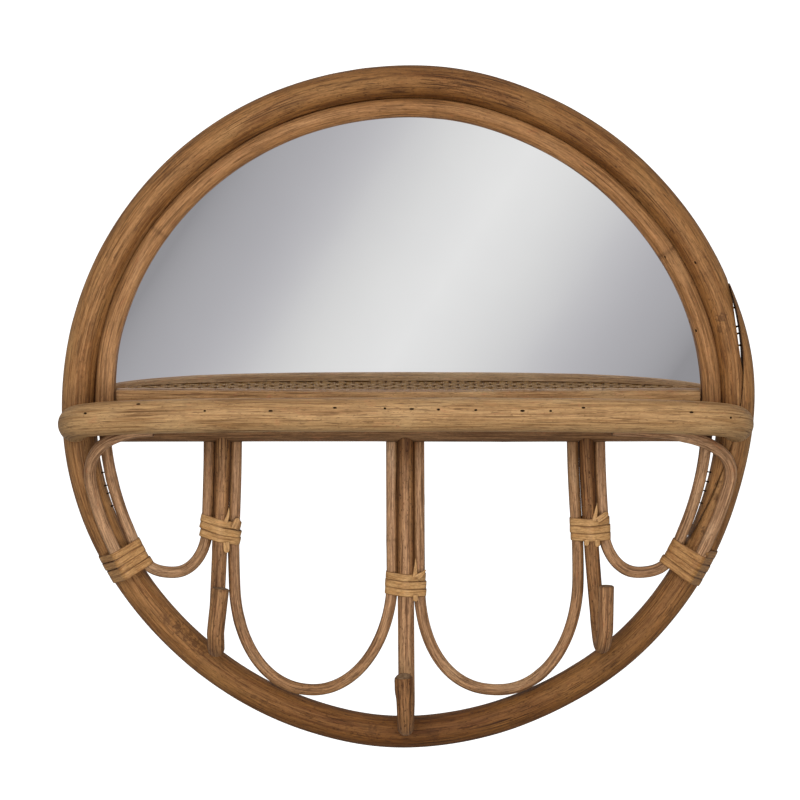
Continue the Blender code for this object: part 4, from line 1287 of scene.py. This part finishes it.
def make_hoop_binding(direction, leg, turns, flap=None):
    """Turns of peel round the hoop, a brace and a scallop's leg, and perhaps a loose flap."""
    side = side_name(direction)
    data = HOOP_BINDINGS[side]
    peel_work = Strands()

    def drop_at(along):
        return data["angle"] + along / HOOP_RADIUS

    def members(along):
        drop = drop_at(along)
        angle = hoop_angle(direction, drop)
        brace_radius, brace_y = brace_seat(direction, drop)
        return [(hoop_axis(angle) - HOOP_RADIUS, 0.0, hoop_pole(angle)),
                (brace_radius - HOOP_RADIUS, brace_y - HOOP_Y, CANE_R),
                (radius_on(leg, drop) - HOOP_RADIUS, INFILL_Y - HOOP_Y, CANE_R * 1.06)]

    def place(along, out, ahead):
        return polar(hoop_angle(direction, drop_at(along)), HOOP_RADIUS + out, HOOP_Y + ahead)

    for k, (shift, tilt, kink) in enumerate(turns):
        wrap(peel_work, members, place, shift, PEEL_WIDTH * 0.98, 0.13 * k + direction,
             PEEL_OVER * (k % 2), 120, tilt, kink)
    if flap is not None:
        wrap(peel_work, members, place, flap, PEEL_WIDTH * 1.05, 4.4, PEEL_OVER, 120,
             turns[0][1], part=lambda p: p[0] > 0.0035)
    peel_work.finish("hoop_peel_" + side, PEEL_STAINED, "hoop_binding_" + side,
                     data["tone"])


# Short ends of peel at each strut: points across, up and forward, width, and whether blunt
PEEL_ENDS = {
    "left": (
        ([(0.0050, 0.008, 0.0006), (0.0072, 0.0145, 0.0004), (0.0080, 0.0210, -0.0004)],
         0.0042, False),
        ([(0.0125, 0.0025, 0.0006), (0.0145, 0.0070, 0.0), (0.0162, 0.0112, -0.0010)],
         0.0068, True),
        ([(0.0055, -0.010, 0.0002), (0.0056, -0.0150, 0.0002), (0.0057, -0.0195, 0.0)],
         0.0062, True)),
    "middle": (
        ([(0.0078, 0.008, 0.0004), (0.0086, 0.016, 0.0002), (0.0088, 0.0248, -0.0008)],
         0.0040, False),
        ([(0.0100, 0.0075, 0.0008), (0.0140, 0.0100, -0.0004), (0.0180, 0.0136, -0.0040)],
         0.0060, False),
        ([(0.0085, -0.0085, -0.0004), (0.0088, -0.0145, -0.0010)], 0.0048, True)),
    "right": (
        ([(0.0030, 0.0085, 0.0006), (0.0045, 0.016, 0.0003), (0.0055, 0.0245, -0.0006)],
         0.0044, False),
        ([(0.0060, 0.0090, 0.0010), (0.0105, 0.0118, 0.0002), (0.0155, 0.0150, -0.0035)],
         0.0060, True),
        ([(-0.0035, -0.0085, 0.0), (-0.0036, -0.0140, -0.0004)], 0.0050, True),
        ([(0.0060, -0.0085, -0.0002), (0.0062, -0.0150, -0.0008)], 0.0052, True)),
}


def make_bindings(inner, outer):
    for side, paths, tilts in (
            ("left", (outer["left"][::-1], inner["left"]), (0.03, -0.02, 0.02)),
            ("middle", (inner["left"][::-1], inner["right"][::-1]), (0.01, 0.0, -0.01)),
            ("right", (inner["right"], outer["right"][::-1]), (0.01, 0.0, -0.01))):
        make_strut_binding(side, paths, tilts, PEEL_ENDS[side])
    plain = (0.0, 0.0)
    make_hoop_binding(-1, outer["left"], (
        (-0.0100, 0.02, plain), (-0.0034, 0.0, (-0.003, 0.00078)),
        (0.0034, 0.0, (-0.003, 0.00156)), (0.0102, -0.02, plain)))
    make_hoop_binding(1, outer["right"], (
        (-0.0095, 0.05, plain), (-0.0030, 0.07, plain), (0.0037, 0.08, plain),
        (0.0105, 0.07, plain)), -0.0162)


# Nails in the front rail: how far across, and how far up its front
RAIL_NAILS = ((-0.271, 28), (-0.229, 56), (-0.172, 24), (-0.116, 22), (-0.061, 32), (-0.018, 30),
              (0.005, 28), (0.028, 26), (0.060, 24), (0.100, 22), (0.124, 22), (0.152, 34),
              (0.243, 26), (0.274, 16))
# Nails in the bead and the hoop: angle round the hoop, and turn round the pole
BEAD_NAILS = ((31.4, -111), (16.1, -129))
HOOP_NAILS = ((27.7, -105),)
# Pins between the hoop and the outer scallops' legs: side and angle below level
SLIT_PINS = ((-1, 11.5), (-1, 14.0), (-1, 15.5), (-1, 18.0),
             (1, 11.4), (1, 13.2), (1, 15.0), (1, 17.4))
# Splinters that cross the hoop's slit, by degrees round it
SCARF_BITS = (17.6, 14.4, 13.2, 11.2)
NAIL_SIDES = 14
PIN_SIDES = 8
NAIL_HALF_WIDE = 0.0009
NAIL_PROUD = 0.00012
SCREW_R = 0.0030
SCREW_SIDES = 20
SCREW_HEIGHTS = (0.006, -0.006)


def make_nails():
    """Small sunk nails, and the pins and splinters that cross the narrow gaps."""
    verts, faces = [], []

    def dot(centre, normal, along, half_long):
        normal = normal.normalized()
        along = (along - normal * along.dot(normal)).normalized()
        across = normal.cross(along)
        base = len(verts)
        count = NAIL_SIDES
        for grow, rise in ((1.0, -0.0004), (0.9, NAIL_PROUD), (0.45, NAIL_PROUD * 0.6)):
            for turn in around(count):
                verts.append(centre + along * (half_long * grow * math.cos(turn))
                             + across * (NAIL_HALF_WIDE * grow * math.sin(turn)) + normal * rise)
        verts.append(centre - normal * 0.0002)
        for row in (base, base + count):
            faces.extend(band(row, row + count, count))
        faces.extend(fan(base + 2 * count, count, base + 3 * count))

    def pin(middle, direction, half, thick):
        across = direction.cross(Vector((0.0, 1.0, 0.0))).normalized()
        over = direction.cross(across)
        base = len(verts)
        count = PIN_SIDES
        for end, grow in ((-half, 1.25), (0.0, 0.8), (half, 1.25)):
            for turn in around(count):
                verts.append(middle + direction * end + across * (thick * grow * math.cos(turn))
                             + over * (thick * grow * math.sin(turn)))
        for row in (base, base + count):
            faces.extend(band(row, row + count, count))
        faces.append(lid(base, count))
        faces.append(lid(base + 2 * count, count))

    for i, (x, lift) in enumerate(RAIL_NAILS):
        lift = math.radians(lift)
        tangent = (front_rail_point(x + 0.001) - front_rail_point(x - 0.001)).normalized()
        out = Vector((0.0, -math.cos(lift), math.sin(lift)))
        out = (out - tangent * out.dot(tangent)).normalized()
        size = 0.0017 + 0.0005 * math.sin(i * 2.3)
        dot(front_rail_point(x) + out * (FRONT_R * 0.999), out, tangent, size)
    for nails, axis, y, size in ((BEAD_NAILS, bead_axis, BEAD_Y, BEAD_R),
                                 (HOOP_NAILS, hoop_axis, HOOP_Y, HOOP_R)):
        for degrees, turn in nails:
            angle, turn = math.radians(degrees), math.radians(turn)
            radial = outward(angle)
            out = radial * math.cos(turn) + Vector((0.0, math.sin(turn), 0.0))
            centre = polar(angle, axis(angle), y) + out * (size * 0.999)
            dot(centre, out, radial.cross(Vector((0.0, 1.0, 0.0))), 0.0014)
    for direction, drop in SLIT_PINS:
        angle = hoop_angle(direction, math.radians(drop))
        inner_face = hoop_axis(angle) - hoop_pole(angle)
        centre = polar(angle, inner_face - 0.0008, (HOOP_Y + INFILL_Y) / 2)
        pin(centre, outward(angle), 0.0030, 0.0007)
    for degrees in SCARF_BITS:
        angle = math.radians(degrees)
        centre = polar(angle, hoop_axis(angle) + scarf_cut(angle) + SCARF_SPRING / 2, HOOP_Y)
        pin(centre, outward(angle), 0.0035, 0.0010)
    made = new_piece("nails", [tuple(v) for v in verts], faces, [NAIL])


def make_hanger_screws():
    """Two countersunk screws that hold the hanger plate to the hoop."""
    verts, faces = [], []
    count = SCREW_SIDES
    for z in SCREW_HEIGHTS:
        base = len(verts)
        for grow, y in ((1.0, -0.0002), (1.0, -0.00005), (0.82, 0.0), (0.30, -0.00005),
                        (0.22, -0.0009)):
            for turn in around(count):
                star = 0.65 + 0.7 * abs(math.cos(2 * turn)) ** 3 if grow < 0.5 else 1.0
                r = SCREW_R * grow * star
                verts.append((r * math.cos(turn), y, z + r * math.sin(turn)))
        for row in range(base, base + 4 * count, count):
            faces += band(row, row + count, count)
        faces.append(lid(base + 4 * count, count))
        faces.append(lid(base, count)[::-1])
    made = new_piece("hanger_screws", verts, faces, [ZINC])


def give(node, look):
    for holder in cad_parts[node].material_slots:
        holder.material = look


# Painted shade where canes lie side by side: it stands in for the shadow between them
CREVICE_SHADE_DEPTH = 0.50
INNER_MIDDLE = 0.0815


def facing(across):
    """Painted shade on a cane's side, by how squarely it faces the cane next to it."""
    return CREVICE_SHADE_DEPTH * clamp((across - 0.30) / 0.60)


def strut_grime(lowest):
    """Painted shade on both sides of a strut, down to where the canes beside it leave it."""
    def grime(middle, across):
        return facing(abs(across)) if middle[2] > below(lowest) else 0.0
    return grime


def inner_grime(direction):
    """Painted shade on an inner scallop's two legs, on the sides that face the struts."""
    def grime(middle, across):
        away = math.copysign(1.0, middle[0] - direction * INNER_MIDDLE)
        return facing(away * across) if middle[2] >= below(-0.56) else 0.0
    return grime


def outer_grime(direction):
    """Painted shade on an outer scallop's leg, on the side beside the strut."""
    def grime(middle, across):
        close = abs(middle[0]) <= 0.200 and middle[2] >= below(-0.40)
        return facing(-direction * across) if close else 0.0
    return grime


def thin_cane(name, path, **looks):
    cane(name + "_cane", path, CANE_R, CANE, name, "rattan_cane", **looks)


def strut_cane(side, lowest, **looks):
    cane("strut_" + side + "_cane", strut_path(side), STRUT_R, STRUT, "strut_hook_" + side,
         "rattan_cane", sides=26, seats=(True, False), grime=strut_grime(lowest), **looks)


make_hoop()
make_bead()
make_rear_rail()
make_strip()
make_front_rail()
make_shelf()
inner = {"left": inner_path(-1), "right": inner_path(1)}
outer = {"left": outer_path(-1), "right": outer_path(1)}
both = (True, True)
thin_cane("scallop_inner_left", inner["left"], knots=(0.31, 0.83), phase=0.7, seats=both,
          shade=((0.0, 0.88), (0.04, 1.0), (0.28, 0.96), (0.5, 0.68), (0.72, 0.93), (0.96, 1.10),
                 (1.0, 1.0)), grime=inner_grime(-1))
thin_cane("scallop_inner_right", inner["right"], knots=(0.42, 0.9), phase=1.9, seats=both,
          shade=((0.0, 0.76), (0.04, 0.84), (0.28, 0.86), (0.5, 0.82), (0.75, 0.95), (0.97, 1.0),
                 (1.0, 0.80)), grime=inner_grime(1))
thin_cane("scallop_outer_left", outer["left"], knots=(0.12,), phase=2.6, seats=both,
          shade=((0.0, 0.90), (0.3, 1.0), (0.58, 0.84), (0.8, 0.96), (1.0, 0.94)),
          grime=outer_grime(-1))
thin_cane("scallop_outer_right", outer["right"], knots=(0.55,), phase=3.4, seats=both,
          shade=((0.0, 0.96), (0.3, 0.92), (0.58, 0.88), (0.8, 1.04), (1.0, 1.04)),
          grime=outer_grime(1))
thin_cane("brace_left", brace_path(-1), knots=(0.42,), phase=4.1,
          girth=((0.0, 1.08), (0.5, 1.05), (1.0, 1.0)))
thin_cane("brace_right", brace_path(1), knots=(0.7,), phase=5.3,
          girth=((0.0, 1.06), (0.5, 1.04), (1.0, 1.0)))
# The struts' shade tables darken their tops, under the rails and the shelf: painted shadow
strut_cane("left", -0.36, knots=(0.35,), phase=6.2, slant=-0.0006,
           girth=((0.0, 0.98), (0.40, 0.94), (0.62, 0.92), (0.74, 1.04), (1.0, 1.08)),
           shade=((0.0, 0.76), (0.06, 0.98), (0.6, 0.98), (0.75, 0.82), (1.0, 0.86)))
strut_cane("middle", -0.53, knots=(0.40, 0.955), phase=7.7, slant=0.0040, swell=0.06,
           girth=((0.0, 1.0), (0.5, 1.02), (0.72, 1.03), (0.93, 1.04), (0.965, 1.14),
                  (0.985, 1.16), (1.0, 1.06)),
           shade=((0.0, 0.66), (0.08, 1.02), (0.3, 1.15), (0.6, 1.08), (0.72, 0.78),
                  (0.95, 0.72), (1.0, 0.60)))
strut_cane("right", -0.36, knots=(0.62,), phase=8.8,
           girth=((0.0, 0.94), (0.62, 0.90), (0.74, 0.94), (1.0, 0.94)),
           shade=((0.0, 0.60), (0.05, 0.74), (0.6, 0.74), (0.74, 0.90), (1.0, 0.94)))
make_bindings(inner, outer)
make_nails()
make_hanger_screws()
give("mirror_glass", silvered())
give("backing_board", fibreboard())
give("hanger_plate", ZINC)


# Stage: pale floor, a soft card that the glass reflects, lights and the camera

FLOOR_Z = -1.9
FLOOR_HALF = 60.0


def flat_quad(name, corners, look):
    mesh = bpy.data.meshes.new(name)
    mesh.from_pydata(corners, [], [(0, 1, 2, 3)])
    mesh.materials.append(look)
    made = bpy.data.objects.new(name, mesh)
    bpy.context.scene.collection.objects.link(made)
    made.visible_diffuse = False
    return made


def make_floor():
    """A pale floor that shines evenly, far below the mirror."""
    net = Net("pale_floor")
    colour = net.mix(net.ramp(net.noise(net.place(), 3.0, 2.0), 0.3, 0.7), (0.90, 0.90, 0.90),
                     (0.93, 0.93, 0.93))
    net.wear(colour, Roughness=0.9, Emission_Color=(1.0, 1.0, 1.0, 1.0), Emission_Strength=0.9)
    half = FLOOR_HALF
    made = flat_quad("floor", [(-half, -half, FLOOR_Z), (half, -half, FLOOR_Z),
                               (half, half, FLOOR_Z), (-half, half, FLOOR_Z)], net.mat)
    made.visible_glossy = False


CARD_Y = -5.0
CARD_PEAK = (0.228, -0.509)
CARD_LEAN = 0.65
CARD_SPREAD = 0.62
CARD_MIDDLE = -0.7
CARD_AROUND = 1.2
CARD_HALF = 4.0
# The card's brightness by the share of the way from its band's middle to its edge
CARD_CURVE = ((0.10, 0.775), (0.22, 0.735), (0.41, 0.63), (0.52, 0.545), (0.66, 0.465),
              (0.94, 0.345))


def make_card():
    """A soft grey card with a brighter slanting band, seen only in the glass."""
    net = Net("reflected_card")
    place = net.node("ShaderNodeSeparateXYZ")
    net.link(net.place(), place.inputs[0])
    lean = net.times(net.math("SUBTRACT", place.outputs["Z"], CARD_PEAK[1]), CARD_LEAN)
    away = net.math("SUBTRACT", net.math("SUBTRACT", place.outputs["X"], CARD_PEAK[0]), lean)
    away = net.math("ABSOLUTE", away)
    curve = net.node("ShaderNodeFloatCurve")
    points = curve.mapping.curves[0].points
    points[0].location = (0.0, 0.80)
    points[1].location = (1.0, 0.29)
    for x, y in CARD_CURVE:
        points.new(x, y)
    curve.mapping.update()
    net.link(net.math("DIVIDE", away, CARD_SPREAD, True), curve.inputs["Value"])
    wide = net.ramp(net.math("ABSOLUTE", place.outputs["X"]), 1.1, 1.8)
    high = net.math("ABSOLUTE", net.math("SUBTRACT", place.outputs["Z"], CARD_MIDDLE))
    beyond = net.math("MAXIMUM", wide, net.ramp(high, 0.9, 1.6))
    strength = net.node("ShaderNodeMix")
    strength.inputs[3].default_value = CARD_AROUND
    net.link(beyond, strength.inputs[0])
    net.link(curve.outputs[0], strength.inputs[2])
    emit = net.node("ShaderNodeEmission")
    cool = net.mix(net.ramp(curve.outputs[0], 0.40, 0.75), (1.010, 0.998, 1.048),
                   (1.012, 1.014, 1.006))
    net.link(cool, emit.inputs["Color"])
    net.link(strength.outputs[0], emit.inputs["Strength"])
    net.link(emit.outputs[0], net.tree.nodes["Material Output"].inputs["Surface"])
    half = CARD_HALF
    made = flat_quad("reflected_card", [(-half, CARD_Y, -half), (half, CARD_Y, -half),
                                        (half, CARD_Y, half), (-half, CARD_Y, half)], net.mat)
    made.visible_camera = False
    made.visible_shadow = False


SKY_LOW = 0.24
SKY_HIGH = 0.40
SKY_SEEN = 1.05


def area(name, place, target, size, power):
    data = bpy.data.lights.new(name, "AREA")
    data.shape = "DISK"
    data.size = size
    data.energy = power
    made = bpy.data.objects.new(name, data)
    made.location = place
    made.rotation_euler = (Vector(target) - Vector(place)).to_track_quat("-Z", "Y").to_euler()
    made.visible_glossy = False
    made.visible_camera = False
    bpy.context.scene.collection.objects.link(made)


def make_lights():
    """Soft light from above and in front, and a pale sky that is brighter above than below."""
    middle = (0.0, -0.02, CENTRE_Z)
    area("key", (-0.5, -2.6, 1.2), middle, 1.6, 34.0)
    area("front", (0.4, -3.0, -0.7), middle, 1.8, 44.0)
    area("top", (0.0, -0.5, 1.7), middle, 1.4, 4.0)
    world = bpy.data.worlds.new("studio")
    world.use_nodes = True
    tree = world.node_tree
    back = tree.nodes["Background"]
    back.inputs["Color"].default_value = (1.0, 1.0, 1.0, 1.0)
    direction = tree.nodes.new("ShaderNodeSeparateXYZ")
    tree.links.new(tree.nodes.new("ShaderNodeTexCoord").outputs["Generated"], direction.inputs[0])
    sky = tree.nodes.new("ShaderNodeMapRange")
    sky.inputs["From Min"].default_value = -0.6
    sky.inputs["From Max"].default_value = 0.6
    sky.inputs["To Min"].default_value = SKY_LOW
    sky.inputs["To Max"].default_value = SKY_HIGH
    tree.links.new(direction.outputs["Z"], sky.inputs["Value"])
    path = tree.nodes.new("ShaderNodeLightPath")
    seen = tree.nodes.new("ShaderNodeMix")
    seen.inputs[3].default_value = SKY_SEEN
    tree.links.new(path.outputs["Is Camera Ray"], seen.inputs[0])
    tree.links.new(sky.outputs["Result"], seen.inputs[2])
    tree.links.new(seen.outputs[0], back.inputs["Strength"])
    bpy.context.scene.world = world
    bpy.context.scene.view_settings.view_transform = "Standard"


# Where the hoop's middle lies in a view 800 wide and high, and how large it is there
PIXELS = 800
HOOP_PIXEL = (405.75, 410.6)
PIXELS_PER_METRE = 688.5 / 0.610
CAMERA_AWAY = 3.6
CAMERA_TILT = math.radians(8.0)
SENSOR = 36.0


def make_camera():
    ahead = Vector((0.0, math.cos(CAMERA_TILT), -math.sin(CAMERA_TILT)))
    up = Vector((0.0, math.sin(CAMERA_TILT), math.cos(CAMERA_TILT)))
    right = ahead.cross(up)
    shift = (HOOP_PIXEL[0] - PIXELS / 2) / PIXELS_PER_METRE
    drop = (HOOP_PIXEL[1] - PIXELS / 2) / PIXELS_PER_METRE
    target = Vector((0.0, HOOP_Y, CENTRE_Z)) - right * shift + up * drop
    data = bpy.data.cameras.new("camera")
    data.sensor_width = SENSOR
    data.lens = PIXELS_PER_METRE * CAMERA_AWAY * SENSOR / PIXELS
    data.clip_end = 200.0
    made = bpy.data.objects.new("camera", data)
    pose = Matrix((right, up, -ahead)).transposed().to_4x4()
    pose.translation = target - ahead * CAMERA_AWAY
    made.matrix_world = pose
    bpy.context.scene.collection.objects.link(made)
    bpy.context.scene.camera = made


make_floor()
make_card()
make_lights()
make_camera()
